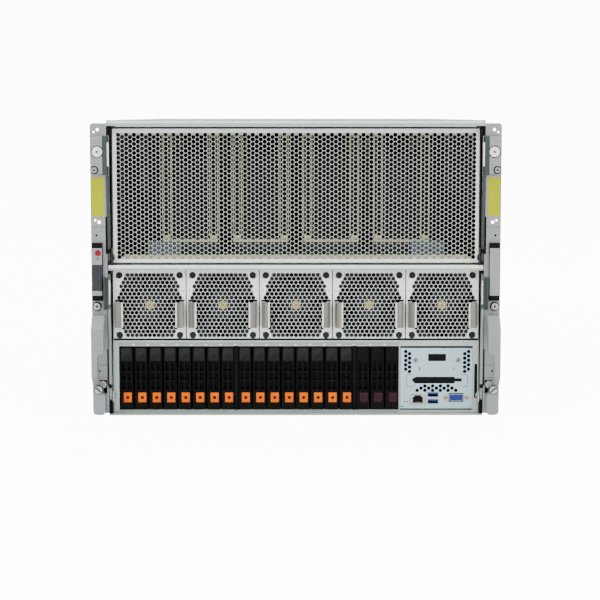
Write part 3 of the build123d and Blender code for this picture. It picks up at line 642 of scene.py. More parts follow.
class SERVER_OT_sheet_metal(bpy.types.Operator):
    """Gives the frame's own pieces their finishes"""

    bl_idname = "server.sheet_metal"
    bl_label = "Sheet metal"

    def execute(self, context):
        finishes = {
            "chassis_shell": "galvanised",
            "top_cover": "cover",
            "rack_ears": "ear",
            "ear_handles": "cast",
            "ear_housings": "band",
            "ear_screws": "screw",
            "rear_panel": "galvanised",
            "power_button": "red",
            # Painted shade: the GPU tray is near black, for the shade inside it
            "gpu_tray": "inside",
            "gpu_grille": "grille",
            # Painted shade: the GPU modules are near black
            "gpu_modules": "sink",
            "system_tray": "galvanised",
            "main_board": "board",
            "drive_backplane": "board",
            "io_panel": "io",
            "io_connectors": "screw",
            "gpu_lever": "lever",
            "system_lever": "lever",
            "fan_rotor": "fan",
            "fan_module": "grille",
            "rear_fan": "grille",
            "psu": "galvanised",
            "drive_carrier": "black",
        }
        for name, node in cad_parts.items():
            key = next(k for k in finishes if name.startswith(k))
            node.data.materials.clear()
            node.data.materials.append(PAINTS[finishes[key]])
        return {"FINISHED"}


class SERVER_OT_grille(bpy.types.Operator):
    """Makes the perforated front grille of the GPU tray"""

    bl_idname = "server.grille"
    bl_label = "Front grille"

    half = 216.1
    foot = 181.2
    top = 340.4
    fold = 8.0
    columns = 91
    rows = 28
    column_pitch = 4.66
    row_pitch = 5.337
    first = (-209.2, 188.5)
    floor_half = 204.0

    def field(self, sizes):
        """Cutters for the staggered holes: two columns, repeated across the sheet."""
        x, z = self.first
        hole = rod((0, PANEL_Y + THIN / 2, 0), sizes.grille_hole / 2 / MM, THIN * 3, "Y", sizes.hole_sides)
        columns = []
        for k in (0, 1):
            steps = range(self.rows - k)
            places = [(x + k * self.column_pitch, 0, z + (r + k / 2) * self.row_pitch) for r in steps]
            column = scattered(copied(hole), places)
            modify(
                column, "ARRAY", count=self.columns // 2 + 1 - k, use_relative_offset=False,
                use_constant_offset=True, constant_offset_displace=(2 * self.column_pitch * MM, 0, 0),
            )
            columns.append(column)
        bpy.data.objects.remove(hole)
        return join(*columns)

    def execute(self, context):
        plate = block((-self.half, PANEL_Y, self.foot), (self.half, PANEL_Y + THIN, self.top))
        slice_at(plate, "Z", self.foot + THIN, self.top - THIN)
        for edge in (self.foot, self.top):
            faces(plate, "Y", push(0, self.fold - THIN, 0), where=lambda c: abs(c.z - edge) < THIN)
        rounded(plate, "X", 0.8, where=lambda c: c.y < PANEL_Y + 0.1)
        cut(plate, self.field(context.scene.server_sizes), "MANIFOLD")
        # Painted shade: the grille's webs are darker inside its field of holes
        done(plate, "front_grille", "field", "grille_steel", "gpu_tray", "gpu_grille")
        strip = block((-self.floor_half, PANEL_Y + 5, 185.0), (self.floor_half, PANEL_Y + 7, 190.6))
        done(strip, "tray_floor_edge", "cream", "galvanised_sheet", "gpu_tray")
        half = self.half
        edge = block((half + 0.2, PANEL_Y + 5, self.foot), (half + 1.3, PANEL_Y + 9, self.top - 2))
        both(edge, "tray_edge", "shaded", "galvanised_sheet", "gpu_tray")
        return {"FINISHED"}


class SERVER_OT_fans(bpy.types.Operator):
    """Makes the front and rear fan modules with their guards, grips, bosses, casings and rotors"""

    bl_idname = "server.fans"
    bl_label = "Fans"

    half_width = 42.9
    half_height = 41.55
    foot_gap = 1.7
    hole_rows = (11, 12, 13, 14, 13, 14, 15, 14, 15, 14, 15, 14, 13, 14, 13, 12, 11)
    hole_pitch = 5.2
    row_pitch = 4.5
    pin_places = ((39.3, 33), (39.3, 17), (35, 17), (39.3, -33))
    grip_foot = 104.7
    grip_top = 135.0
    grip_root = 40.5
    grip_reach = 10.0
    grip_width = 9.4
    boss_place = 35.75
    case_half = 40
    case_depth = 38
    hub_radius = 17
    hub_depth = 18
    blades = 7
    blade_foot = 15
    blade_steps = (19, 23, 27, 31, 36)
    blade_turn = 48
    blade_twist = 3.5

    def guard(self, sizes, gripped):
        """The plate with its punched holes and the slots over its grips."""
        x, z = self.half_width, self.half_height
        plate = block((-x, FAN_Y, FAN_Z - z + self.foot_gap), (x, FAN_Y + THIN, FAN_Z + z))
        rounded(plate, "Y", 1.0)
        middle = (0, FAN_Y + THIN / 2, FAN_Z)
        hole = rod(middle, sizes.guard_hole / 2 / MM, THIN * 3, "Y", sizes.hole_sides)
        places = [
            ((k - (count - 1) / 2) * self.hole_pitch, 0, (len(self.hole_rows) // 2 - row) * self.row_pitch)
            for row, count in enumerate(self.hole_rows)
            for k in range(count)
        ]
        cut(plate, scattered(hole, places), "MANIFOLD")
        pin = rod(middle, 0.8, THIN * 3, "Y", 8)
        pins = scattered(pin, [(side * dx, 0, dz) for side in (-1, 1) for dx, dz in self.pin_places])
        cut(plate, pins, "MANIFOLD")
        if gripped:
            low = (self.grip_root - self.grip_width, FAN_Y - 1, self.grip_top)
            notch = block(low, (self.grip_root + 1.0, FAN_Y + THIN + 1, self.grip_top + 2.4))
            for tool in (notch, mirrored(notch)):
                cut(plate, tool, "MANIFOLD")
        return plate

    def grips(self):
        """Two bent finger grips with a rolled free edge."""
        root, tip_y = self.grip_root, FAN_Y - self.grip_reach
        grip = block((root - THIN, tip_y, self.grip_foot), (root, FAN_Y + 0.2, self.grip_top))
        slice_at(grip, "Y", tip_y + THIN)
        faces(grip, "-X", push(THIN - self.grip_width + 1.6, 0, 0), where=lambda c: c.y < tip_y + THIN)
        rounded(grip, "Z", 3.0, 5, where=lambda c: c.x > root - 0.1 and c.y < tip_y + 0.1)
        soften(grip, 0.2, 1)
        return join(grip, mirrored(grip))

    def grip_edges(self):
        """The rolled free edges of the grips, painted as a highlight."""
        tip_y = FAN_Y - self.grip_reach
        low_x = self.grip_root - self.grip_width
        edge = block((low_x, tip_y, self.grip_foot), (low_x + 2.0, tip_y + 2.2, self.grip_top))
        soften(edge, 0.7, 3)
        return join(edge, mirrored(edge))

    def bosses(self):
        """Four dark screw bosses, each with a rim and a dished middle."""
        boss = rod((0, FAN_Y - 0.5, FAN_Z), 3.9, 1.0, "Y", 28)
        faces(boss, "-Y", inset(0.8), inset(0.15, -0.4), inset(1.6, 0.15))
        soften(boss, 0.2, 1, 50)
        places = (-self.boss_place, self.boss_place)
        return scattered(boss, [(x, 0, z) for x in places for z in places])

    def casing(self):
        """The square casing with its round duct, rear struts, motor seat and plug."""
        half, front_y = self.case_half, FAN_Y + THIN
        rear_y = front_y + self.case_depth
        shell = block((-half, front_y, FAN_Z - half), (half, rear_y, FAN_Z + half))
        rounded(shell, "Y", 3.0, 3)
        cut(shell, rod((0, front_y + self.case_depth / 2, FAN_Z), 38, 60, "Y", 64), "MANIFOLD")
        parts = [shell]
        back = rear_y - 3
        for k in range(4):
            arm = soften(block((-1.6, back, FAN_Z), (1.6, rear_y, FAN_Z + 38.6)), 0.4)
            parts.append(turned(arm, 45 + 90 * k, "Y", (0, 0, FAN_Z)))
        seat = rod((0, back + 1.5, FAN_Z), self.hub_radius, 3, "Y", 40)
        plug = block((-10, rear_y, FAN_Z - half), (10, rear_y + 10, FAN_Z - 28))
        faces(plug, "Y", inset(1.5), push(0, -4, 0))
        return join(*parts, soften(seat, 0.5), soften(plug, 0.4))

    def rotor(self):
        """A hub with a raised cap and seven twisted blades."""
        front_y = FAN_Y + THIN
        axle = (0, front_y + self.hub_depth, 0)
        hub = rod((0, front_y + self.hub_depth, FAN_Z), self.hub_radius, 32, "Y", 48)
        faces(hub, "-Y", inset(3.5, 0.8), inset(5.5, -0.5))
        soften(hub, 0.8, 2, 40)
        foot, tip = self.blade_foot, self.blade_steps[-1]
        blade = block((-0.7, front_y + 5, FAN_Z + foot), (0.7, front_y + 31, FAN_Z + tip))
        slice_at(blade, "Z", *(FAN_Z + h for h in self.blade_steps[:-1]))
        slice_at(blade, "Y", *(front_y + d for d in (11, 18, 25)))
        for reach in self.blade_steps:
            angle = math.radians(-self.blade_twist * (reach - foot) / 4)
            turn = {"value": angle, "orient_axis": "Z", "center_override": Vector(axle) * MM}
            twist = (bpy.ops.transform.rotate, turn)
            shape(blade, "VERT", lambda c, n: abs(c.z - FAN_Z - reach) < 0.5, twist)
        soften(turned(blade, self.blade_turn, "Z", axle), 0.3, 1)
        angles = [360 * k / self.blades for k in range(self.blades)]
        around = [turned(copied(blade), angle, "Y", (0, 0, FAN_Z)) for angle in angles]
        bpy.data.objects.remove(blade)
        return join(hub, *around)

    def pull_tab(self):
        """The flat tab that pulls a rear fan out."""
        low = (-self.grip_root, FAN_Y - self.grip_reach, FAN_Z - 15.15)
        tab = block(low, (THIN - self.grip_root, FAN_Y + 0.2, FAN_Z + 15.15))
        rounded(tab, "X", 2.5, 4, where=lambda c: c.y < FAN_Y - 9)
        return soften(tab, 0.3, 1)

    def turned_back(self, model, x):
        """A copy for the rear wall: mirrored front to back and raised."""
        rear = copied(model, (x, 0, REAR_FAN_Z - FAN_Z))
        back = Matrix.Translation((0, (REAR_Y + SLIP + THIN + FAN_Y) * MM, 0))
        rear.data.transform(back @ Matrix.Scale(-1, 4, (0, 1, 0)))
        rear.data.flip_normals()
        return rear

    def execute(self, context):
        sizes = context.scene.server_sizes
        disc = rod((0, FAN_Y + THIN + 1.25, FAN_Z), 5.5, 0.3, "Y", 40)
        models = (
            # Painted shade: the guards' webs are darker inside their fields of holes
            (self.guard(sizes, True), "guard", "guard", "grille_steel", "fan_module", "front"),
            # Painted shade on the grips' faces, and a painted highlight on their free edges
            (self.grips(), "grips", "grip", "grille_steel", "fan_module", "front"),
            (self.grip_edges(), "grip_edges", "lip", "grille_steel", "fan_module", "front"),
            (self.bosses(), "bosses", "rubber", "fan_plastic", "fan_module", "both"),
            (self.casing(), "casing", "fan", "fan_plastic", "fan_module", "both"),
            (self.rotor(), "rotor", "fan", "fan_plastic", "fan_rotor", "both"),
            (disc, "hub_disc", "straw", "fan_plastic", "fan_rotor", "both"),
            (self.guard(sizes, False), "guard", "grille", "grille_steel", "fan_module", "rear"),
            # Painted shade: the pull tabs share the grips' dark streaked paint
            (self.pull_tab(), "pull_tab", "grip", "grille_steel", "fan_module", "rear"),
        )
        for model, kind, paint, slot, node, place in models:
            for k, x in enumerate(FAN_X, start=1):
                front, rear = f"{node}_{k}", f"rear_fan_{k}"
                if place != "rear":
                    done(copied(model, (x, 0, 0)), f"front_fan_{k}_{kind}", paint, slot, front, front)
                if place != "front":
                    done(self.turned_back(model, x), f"{rear}_{kind}", paint, "grille_steel", rear, rear)
            bpy.data.objects.remove(model)
        return {"FINISHED"}


class SERVER_OT_carriers(bpy.types.Operator):
    """Makes the nineteen drive carriers with their latches and release buttons"""

    bl_idname = "server.carriers"
    bl_label = "Drive carriers"

    foot = 5.3
    top = 81.7
    half = 7.7
    rail = 109
    latch_half = 6.2
    latch_foot = 27.7
    latch_top = 64.2
    vents = ((29.6, 39.5), (41.0, 50.0), (51.6, 62.4))
    button = (1.2, 19.8)

    def bezel(self):
        """Front frame with the wells for the latch and the button, and two rails behind it."""
        bezel = block((-self.half, FAN_Y, self.foot), (self.half, FAN_Y + 11, self.top))
        slice_at(bezel, "Z", self.foot + 2, self.top - 2)
        for z in (self.foot, self.top):
            faces(bezel, "Y", push(0, self.rail, 0), where=lambda c: abs(c.z - z) < 2)
        soften(bezel, 0.5, 2)
        cut(bezel, block((-6.5, FAN_Y - 1, 27.4), (6.5, FAN_Y + 8, 80.0)))
        return cut(bezel, block((-4.0, FAN_Y - 1, 13.6), (6.4, FAN_Y + 8, 26.0)))

    def latch(self):
        """Latch lever: cross bars between two stiles, with open vents."""
        low = (-self.latch_half, FAN_Y + 0.3, self.latch_foot)
        plate = soften(block(low, (self.latch_half, FAN_Y + 4.5, self.latch_top)), 0.6, 2)
        for x in (-3.1, 3.1):
            for low, high in self.vents:
                cut(plate, block((x - 2.1, FAN_Y - 1, low), (x + 2.1, FAN_Y + 6, high)))
        return plate

    def cap(self):
        """Closed upper end of the latch, with a finger hollow along its edge."""
        low = (-self.latch_half, FAN_Y - 0.4, self.latch_top)
        plate = block(low, (self.latch_half, FAN_Y + 4.5, 79.7))
        rounded(plate, "Y", 2.0, 4, where=lambda c: c.z > 79)
        faces(plate, "-Y", inset(0.9), inset(0.25, -0.25))
        return soften(plate, 0.25, 1, 40)

    def release(self):
        """Square button with a round hollow in its middle."""
        x, z = self.button
        button = soften(block((-3.7, FAN_Y - 0.2, 13.9), (6.1, FAN_Y + 6.8, 25.7)), 0.5, 2)
        return cut(button, rod((x, FAN_Y, z), 2.0, 2.4, "Y", 20))

    def dot(self):
        """The coloured disc in the button's hollow."""
        x, z = self.button
        return soften(rod((x, FAN_Y + 0.55, z), 1.9, 1.1, "Y", 20), 0.3)

    def drive(self):
        """Drive case with a stepped lid and screws in its sides."""
        y = FAN_Y + 11.2
        foot = self.foot + 2.2
        case = block((-6.9, y, foot), (6.9, y + 100, self.foot + 72))
        shape(case, "FACE", lambda c, n: abs(n.x) > STRAIGHT, inset(2.4), inset(0.4, -0.5))
        soften(case, 0.5, 2)
        screw = soften(rod((0, y + 14, foot + 3.5), 1.6, 14.2, "X", 16), 0.3)
        return join(case, scattered(screw, [(0, 0, 0), (0, 76.6, 0), (0, 0, 62), (0, 76.6, 62)]))

    def execute(self, context):
        models = (
            (self.bezel(), "bezel", "black", "black"),
            (self.latch(), "latch", "black", "black"),
            (self.cap(), "cap", "cap", "black"),
            (self.release(), "release", "orange", "maroon"),
            (self.dot(), "dot", "amber", "maroon"),
            # Painted shade: the drive cases are near black
            (self.drive(), "drive", "sink", "sink"),
        )
        for model, kind, light, dark in models:
            for k, x in enumerate(CARRIER_X):
                node, name = f"drive_carrier_{k:02d}", f"carrier_{k:02d}_{kind}"
                paint = dark if k >= DARK_BAYS else light
                done(copied(model, (x, 0, 0)), name, paint, "carrier_plastic", node, node)
            bpy.data.objects.remove(model)
        return {"FINISHED"}


class SERVER_OT_ports(bpy.types.Operator):
    """Makes the port plate with its vents and its network, USB and VGA sockets"""

    bl_idname = "server.ports"
    bl_label = "Front ports"

    left = 124.8
    right = 210.4
    foot = 6.8
    top = 79.6
    # Openings in the plate: lower left corner, width and height
    windows = (
        (136.1, 11.1, 19.0, 12.6),
        (156.9, 12.1, 13.6, 6.3),
        (156.9, 20.3, 13.6, 6.5),
        (182.4, 14.7, 18.0, 10.7),
        (157.6, 63.8, 21.4, 8.8),
        (147.1, 52.4, 1.0, 4.6),
        (188.1, 52.4, 1.0, 4.6),
    )
    vent_columns = ((130.9, 0), (205.9, 0), (135.5, 0.5), (201.3, 0.5))
    vent_top = 75.4
    vent_foot = 28.6
    vent_left = 144.8
    vent_pitch = 5.33
    vent_step = 4.62
    pin_places = ((129.9, 0, 15.0), (133.4, 0, 15.2), (126.8, 0, 9.4), (208.4, 0, 9.4))
    # Round tabs at both ends of the card slot: middle, and the side that is open
    tabs = ((137.3, 1), (199.4, -1))
    contact_pitch = 1.02
    usb_places = (12.4, 20.6)
    vga_x = 191.35
    vga_z = 20.1
    vga_slope = 0.17
    pin_pitch = 2.3
    screw_places = ((0, 0, 0), (51.0, 0, 0))

    def plate(self, sides):
        """The sheet with its openings, vents and small holes, and the round tabs beside its card slot."""
        y = PANEL_Y
        sheet = block((self.left, y, self.foot), (self.right, y + THIN, self.top))
        slice_at(sheet, "Z", self.foot + THIN)
        faces(sheet, "Y", push(0, 7, 0), where=lambda c: c.z < self.foot + THIN)
        rounded(sheet, "Y", 1.5, 3, where=lambda c: c.z > self.top - 1)
        tools = []
        for x, z, width, height in self.windows:
            tool = block((x, y - 1, z), (x + width, y + 3, z + height))
            tools.append(rounded(tool, "Y", min(0.8, width / 4)))
        tools.append(rounded(block((140.6, y - 1, 36.9), (189.9, y + 3, 45.0)), "Y", 1.8))
        tools.append(block((138.5, y - 1, 39.2), (197.9, y + 3, 43.2)))
        pitch, step = self.vent_pitch, self.vent_step
        top = self.vent_top
        places = [(x, 0, top - (shift + k) * pitch) for x, shift in self.vent_columns for k in range(5)]
        places += [(self.vent_left + k * step, 0, self.vent_foot + k % 2 * pitch / 2) for k in range(11)]
        places += [(self.vent_left + k * step, 0, self.vent_foot + pitch) for k in (2, 4, 6, 8)]
        tools.append(scattered(rod((0, y, 0), 2.25, 4, "Y", sides), places))
        tools.append(scattered(rod((0, y, 0), 0.95, 4, "Y", 10), self.pin_places))
        for tool in tools:
            cut(sheet, tool)
        tabs = []
        for x, side in self.tabs:
            tab = rounded(block((x - 5.4, y - 0.5, 33.6), (x + 5.4, y + 0.2, 47.6)), "Y", 3.6, 5)
            cut(tab, block((x + side * 1.6, y - 2, 35.6), (x + side * 9.0, y + 2, 44.2)))
            tabs.append(soften(tab, 0.2, 1))
        return join(sheet, *tabs)

    def loops(self):
        """Dark rims round the tabs."""
        rims = []
        for x, side in self.tabs:
            rim = block((x - 5.9, PANEL_Y - 0.3, 33.1), (x + 5.9, PANEL_Y - 0.05, 48.1))
            rounded(rim, "Y", 3.9, 5)
            cut(rim, block((x + side * 1.6, PANEL_Y - 2, 32.0), (x + side * 9.0, PANEL_Y + 2, 49.0)))
            rims.append(rim)
        return join(*rims)

    def backs(self):
        """Dark plates behind the openings, as painted shade."""
        y = PANEL_Y
        return join(
            block((139.3, y + 3.0, 13.3), (151.9, y + 3.4, 22.8)),
            block((139.0, y + 1.4, 34.6), (197.4, y + 1.9, 46.0)),
            block((157.0, y + 1.4, 63.2), (179.8, y + 1.9, 73.4)),
        )

    def jack(self):
        """Shielded network socket with its stepped mouth."""
        y = PANEL_Y - 0.6
        shield = block((136.4, y, 11.4), (154.8, y + 21, 23.4))
        cut(shield, block((139.6, y - 1, 13.6), (151.6, y + 15, 20.6)))
        cut(shield, block((141.8, y - 1, 20.0), (149.4, y + 15, 22.6)))
        return soften(shield, 0.25, 1)

    def contacts(self):
        """Eight contacts in the network socket."""
        contact = block((0, PANEL_Y + 2.0, 14.2), (0.5, PANEL_Y + 13, 14.7))
        faces(contact, "-Y", push(0, -0.5, -0.4))
        return scattered(contact, [(142.0 + self.contact_pitch * k, 0, 0) for k in range(8)])

    def usb(self):
        """Two stacked USB shells with their springs, in one body."""
        y = PANEL_Y - 0.4
        shells = []
        for z in self.usb_places:
            shell = faces(block((157.2, y, z), (170.2, y + 18, z + 5.9)), "-Y", inset(0.45), push(0, 14, 0))
            for x in (160.0, 165.6):
                shell = join(shell, block((x, y + 3, z + 5.3), (x + 1.8, y + 9, z + 5.7)))
            shells.append(shell)
        body = block((157.2, y + 1.2, 12.2), (170.2, y + 17.5, 26.7))
        cut(body, block((157.6, y - 1, 12.8), (169.8, y + 14, 17.9)))
        cut(body, block((157.6, y - 1, 21.0), (169.8, y + 14, 26.1)))
        return join(*shells, body)

    def tongues(self):
        """The blue tongues in the USB sockets."""
        tongue = block((158.4, PANEL_Y + 0.8, 15.4), (169.0, PANEL_Y + 13.4, 17.6))
        return scattered(soften(tongue, 0.25, 1), [(0, 0, 0), (0, 0, 8.2)])

    def vga(self, depth, scale, front):
        """A D-shaped block round the middle of the VGA socket."""
        x, z, y = self.vga_x, self.vga_z, PANEL_Y + front
        half, rise = 8.35 * scale, 4.2 * scale
        core = rounded(block((x - half, y, z - rise), (x + half, y + depth, z + rise)), "Y", 1.6, 3)
        for point in core.data.vertices:
            side = 1 if point.co.x > x * MM else -1
            point.co.x += (point.co.z - z * MM) * self.vga_slope * side
        return core

    def vga_insert(self):
        """The blue insert with its three rows of five pin holes."""
        insert = self.vga(6, 0.9, -1.0)
        pin = rod((self.vga_x, PANEL_Y, self.vga_z), 0.5, 6, "Y", 8)
        rows = ((0, 2.0), (self.pin_pitch / 2, 0), (0, -2.0))
        places = [(dx * self.pin_pitch - shift, 0, dz) for shift, dz in rows for dx in range(-2, 3)]
        return cut(insert, scattered(pin, places))

    def vga_posts(self):
        """The two threaded posts beside the VGA socket."""
        post = soften(rod((self.vga_x, PANEL_Y - 1.4, self.vga_z), 2.6, 3.2, "Y", 6), 0.3, 1)
        cut(post, rod((self.vga_x, PANEL_Y - 2, self.vga_z), 1.3, 6, "Y", 16))
        return scattered(post, [(-12.45, 0, 0), (12.45, 0, 0)])

    def screw(self, radius, middle, length, sides):
        """A disc at the plate's left screw."""
        return rod((142.7, PANEL_Y - middle, 64.9), radius, length, "Y", sides)

    def board(self):
        """The small circuit board behind the plate with its chip and feet."""
        y = PANEL_Y
        board = block((126.3, y + 1.6, 9.8), (208.9, y + 91, 11.4))
        faces(board, "Z", inset(3.0), inset(0.2, 0.05))
        chip = soften(block((150, y + 45, 11.4), (166, y + 61, 13.0)), 0.4)
        foot = soften(rod((133.8, y + 17, 6.8), 3.0, 6.0, "Z", 6), 0.3, 1)
        return join(board, chip, scattered(foot, [(x, dy, 0) for x in (0, 67.6) for dy in (0, 64)]))

    def execute(self, context):
        y = PANEL_Y
        well = block((139.0, y + 0.8, 13.0), (152.2, y + 20, 22.9))
        faces(well, "-Y", inset(0.8), push(0, 17, 0))
        lamp = soften(block((136.9, y - 0.8, 19.4), (139.0, y + 2, 22.6)), 0.3)
        shell = faces(self.vga(12, 1.0, -1.6), "-Y", inset(0.5), push(0, 6, 0))
        rivet = faces(self.screw(2.1, 0.4, 1.0, 20), "-Y", inset(0.6), inset(0.1, -0.4))
        rivets = scattered(soften(rivet, 0.15, 1, 50), self.screw_places)
        for piece, name, paint, slot in (
            (self.jack(), "network_socket", "screw", "socket_metal"),
            (self.contacts(), "network_contacts", "gold", "socket_metal"),
            (well, "network_well", "black", "carrier_plastic"),
            (scattered(lamp, [(0, 0, 0), (15.3, 0, 0)]), "network_lamps", "cream", "housing_plastic"),
            (self.usb(), "usb_shells", "screw", "socket_metal"),
            (self.tongues(), "usb_tongues", "blue", "carrier_plastic"),
            (shell, "vga_shell", "screw", "socket_metal"),
            (self.vga_insert(), "vga_insert", "blue", "carrier_plastic"),
            (self.vga_posts(), "vga_posts", "gold", "socket_metal"),
            (rivets, "plate_screws", "screw", "screw_steel"),
            (self.board(), "port_board", "board", "circuit_board"),
        ):
            done(piece, name, paint, slot, "system_tray", "io_connectors")
        done(self.loops(), "port_plate_loops", "shaded", "galvanised_sheet", "system_tray")
        # Painted shade: dark plates behind the openings
        done(self.backs(), "port_plate_backs", "band", "carrier_plastic", "system_tray")
        washers = scattered(self.screw(2.7, 0.1, 0.3, 24), self.screw_places)
        marks = scattered(self.screw(0.9, 0.75, 0.5, 16), self.screw_places)
        done(join(washers, marks), "plate_screw_rims", "band", "screw_steel", "system_tray")
        plate = self.plate(context.scene.server_sizes.hole_sides)
        done(plate, "port_plate", "io", "galvanised_sheet", "system_tray", "io_panel")
        card = block((141.5, y + 2.5, 37.4), (189.0, y + 60, 42.4))
        faces(card, "-Y", inset(1.2), push(0, 2, 0))
        done(card, "card_cage", "band", "housing_plastic", "system_tray", "io_panel")
        return {"FINISHED"}


class SERVER_OT_ears(bpy.types.Operator):
    """Makes the rack ears with their holes, blank labels, housings and captive screws"""

    bl_idname = "server.ears"
    bl_label = "Rack ears"

    inner = 222.0
    outer = 241.3
    foot = 3.0
    top = 346.5
    flange = 47.5
    seams = (331.2, 224.8, 60.8, 45.7)
    seam_width = 0.5
    # Holes in the face sheet: middle and radius
    holes = (
        (232.4, 338.9, 1.75),
        (236.9, 336.0, 1.15),
        (235.9, 232.7, 1.2),
        (231.5, 230.4, 2.0),
        (234.9, 214.9, 1.35),
        (232.9, 53.6, 1.3),
        (RACK_X, RACK_HIGH, 3.6),
    )
    housing_screw = (234.7, 130.9)
    button = (-RACK_X, 194.6)
    slot_turn = 50
    # Dark backs behind holes, and dark blocks in corners and gaps, all painted shade: lowest and highest
    # corner, with y counted from the face of the ear
    darks = (
        ("window_back", (223.9, 2.6, 24.0), (237.0, 3.4, 48.0)),
        ("hole_back", (230.5, 2.6, 50.0), (237.5, 3.2, 58.0)),
        ("upper_hole_back", (231.5, 2.6, 211.0), (238.5, 3.2, 219.0)),
        ("corner_seal", (217.95, 1.6, 332.6), (222.0, 14.0, 343.0)),
        ("shelf_seal", (217.95, 2.2, 169.2), (222.0, 14.0, 175.8)),
        ("upper_gap", (222.02, -0.12, 193.0), (224.0, 0.4, 237.0)),
        ("foot_seal", (217.95, 2.3, 2.1), (222.0, 14.0, 17.0)),
        ("lower_gap", (222.02, -0.12, 36.0), (223.6, 0.4, 80.0)),
    )
    # Plates on the housings: side, number, foot, top and paint
    plates = (
        ("left", 0, 180.5, 200.3, "ear"),
        ("left", 1, 150.2, 180.2, "smoked"),
        ("left", 2, 144.1, 149.9, "ear"),
        ("right", 0, 144.1, 200.3, "ear"),
    )

    def ear(self):
        """Face sheet and side flange in one bent piece, with its holes and fine seams."""
        y, bend = EAR_Y, self.inner + 1.7
        sheet = block((self.inner, y, self.foot), (self.outer, y + 2.5, self.top))
        slice_at(sheet, "X", bend)
        faces(sheet, "Y", push(0, self.flange, 0), where=lambda c: c.x < bend)
        rounded(sheet, "Y", 4.0, 5, where=lambda c: c.x > self.outer - 1)
        rounded(sheet, "Z", 1.2, 3, where=lambda c: c.x < self.inner + 0.1 and c.y < y + 0.1)
        for x, z, radius in self.holes:
            cut(sheet, rod((x, y + 1, z), radius, 6, "Y", 20))
        cut(sheet, block((224.0, y - 1, 27.0), (235.6, y + 4, 43.1)))
        for seam in self.seam_bars(-1, -1, 0.35):
            cut(sheet, seam)
        return sheet

    def seam_bars(self, margin, front, back):
        """A thin bar at each seam across the ear, between two depths."""
        half = self.seam_width / 2
        low, high = self.inner + margin, self.outer - margin
        return [block((low, EAR_Y + front, z - half), (high, EAR_Y + back, z + half)) for z in self.seams]

    def label(self):
        """Blank label: thin sheet with rounded corners."""
        sheet = block((225.5, EAR_Y - 0.2, 237.4), (240.2, EAR_Y + 0.1, 283.1))
        return faces(rounded(sheet, "Y", 0.8, 3), "-Y", inset(0.7), inset(0.1, -0.03))

    def stud(self, z, middle, length):
        """Shank and stud of a rack screw."""
        shank = rod((RACK_X, EAR_Y + middle, z), 3.3, length, "Y", 24)
        return shank, soften(rod((RACK_X, EAR_Y + 9.0, z), 2.9, 12, "Y", 24), 0.5)

    def upper_screw(self):
        """Rack screw with a cross recess."""
        head = rod((RACK_X, EAR_Y - 2.0, RACK_HIGH), 6.1, 4.0, "Y", 40)
        faces(head, "-Y", inset(0.7, 0.4), inset(3.0, 0.1))
        soften(head, 0.3, 2, 40)
        for bar in cross(RACK_X, RACK_HIGH, EAR_Y - 6, EAR_Y - 2.4, 1.9, 1.2):
            cut(head, bar)
        return join(head, *self.stud(RACK_HIGH, 1.5, 3.0))

    def slanted(self, low, high):
        """A bar turned round the lower rack screw, as its slot is."""
        return turned(block(low, high), self.slot_turn, "Y", (RACK_X, EAR_Y, RACK_LOW))

    def lower_screw(self):
        """Slotted rack screw that passes through the handle."""
        y = EAR_Y
        head = rod((RACK_X, y - 15.6, RACK_LOW), 4.5, 3.2, "Y", 40)
        faces(head, "-Y", inset(0.5, 0.2))
        soften(head, 0.3, 2, 40)
        cut(head, self.slanted((231.7, y - 20, 28.0), (233.4, y - 16.0, 39.0)))
        return join(head, *self.stud(RACK_LOW, -5.5, 17))

    def screws(self):
        """The screws of the ears with their rims, washers and recesses; the recesses and the rim round the
        upper screw are dark as painted shade.
        """
        y = EAR_Y
        ring = rod((RACK_X, y - 14.15, RACK_LOW), 5.4, 0.5, "Y", 40)
        cut(ring, rod((RACK_X, y - 14, RACK_LOW), 3.4, 4, "Y", 32))
        # Painted shade: a black floor in the lower screw's slot
        groove = self.slanted((231.8, y - 16.25, 29.6), (233.3, y - 16.0, 37.4))
        for piece, kind, paint in (
            # Painted highlight: the upper screw's head is near white
            (self.upper_screw(), "upper", "bright"),
            (self.lower_screw(), "lower", "screw"),
            (ring, "ring", "band"),
            (cross_floor(RACK_X, RACK_HIGH, y - 2.6, 1.8, 1.1), "cross", "black"),
            (groove, "groove", "black"),
        ):
            both(piece, f"rack_screw_{kind}", paint, "screw_steel", "chassis", "ear_screws")
        x, z = self.housing_screw
        big = rod((x, y - 1.6, z), 4.3, 3.4, "Y", 36)
        soften(faces(big, "-Y", inset(0.8, 0.5), inset(0.5, 0.1)), 0.3, 2, 40)
        for bar in cross(x, z, y - 6, y - 2.7, 2.4, 1.2):
            cut(big, bar)
        thumb = rod((228.9, y - 1.0, 38.0), 4.4, 6.0, "Y", 28)
        soften(faces(thumb, "-Y", inset(1.2, 0.4), inset(1.0, -0.6)), 0.3, 1, 40)
        # Painted shadow: a dark rim round the upper rack screw
        rim = rod((RACK_X, y - 0.6, RACK_HIGH), 7.25, 1.2, "Y", 40)
        for piece, name, paint in (
            (rod((x, y - 0.3, z), 5.4, 0.8, "Y", 36), "housing_washer", "band"),
            (big, "housing_screw", "screw"),
            (cross_floor(x, z, y - 2.85, 2.2, 1.1), "housing_cross", "black"),
            (thumb, "window_screw", "screw"),
            (faces(rim, "-Y", inset(0.5), inset(0.2, -0.5)), "screw_rim", "band"),
        ):
            both(piece, name, paint, "screw_steel", "chassis")

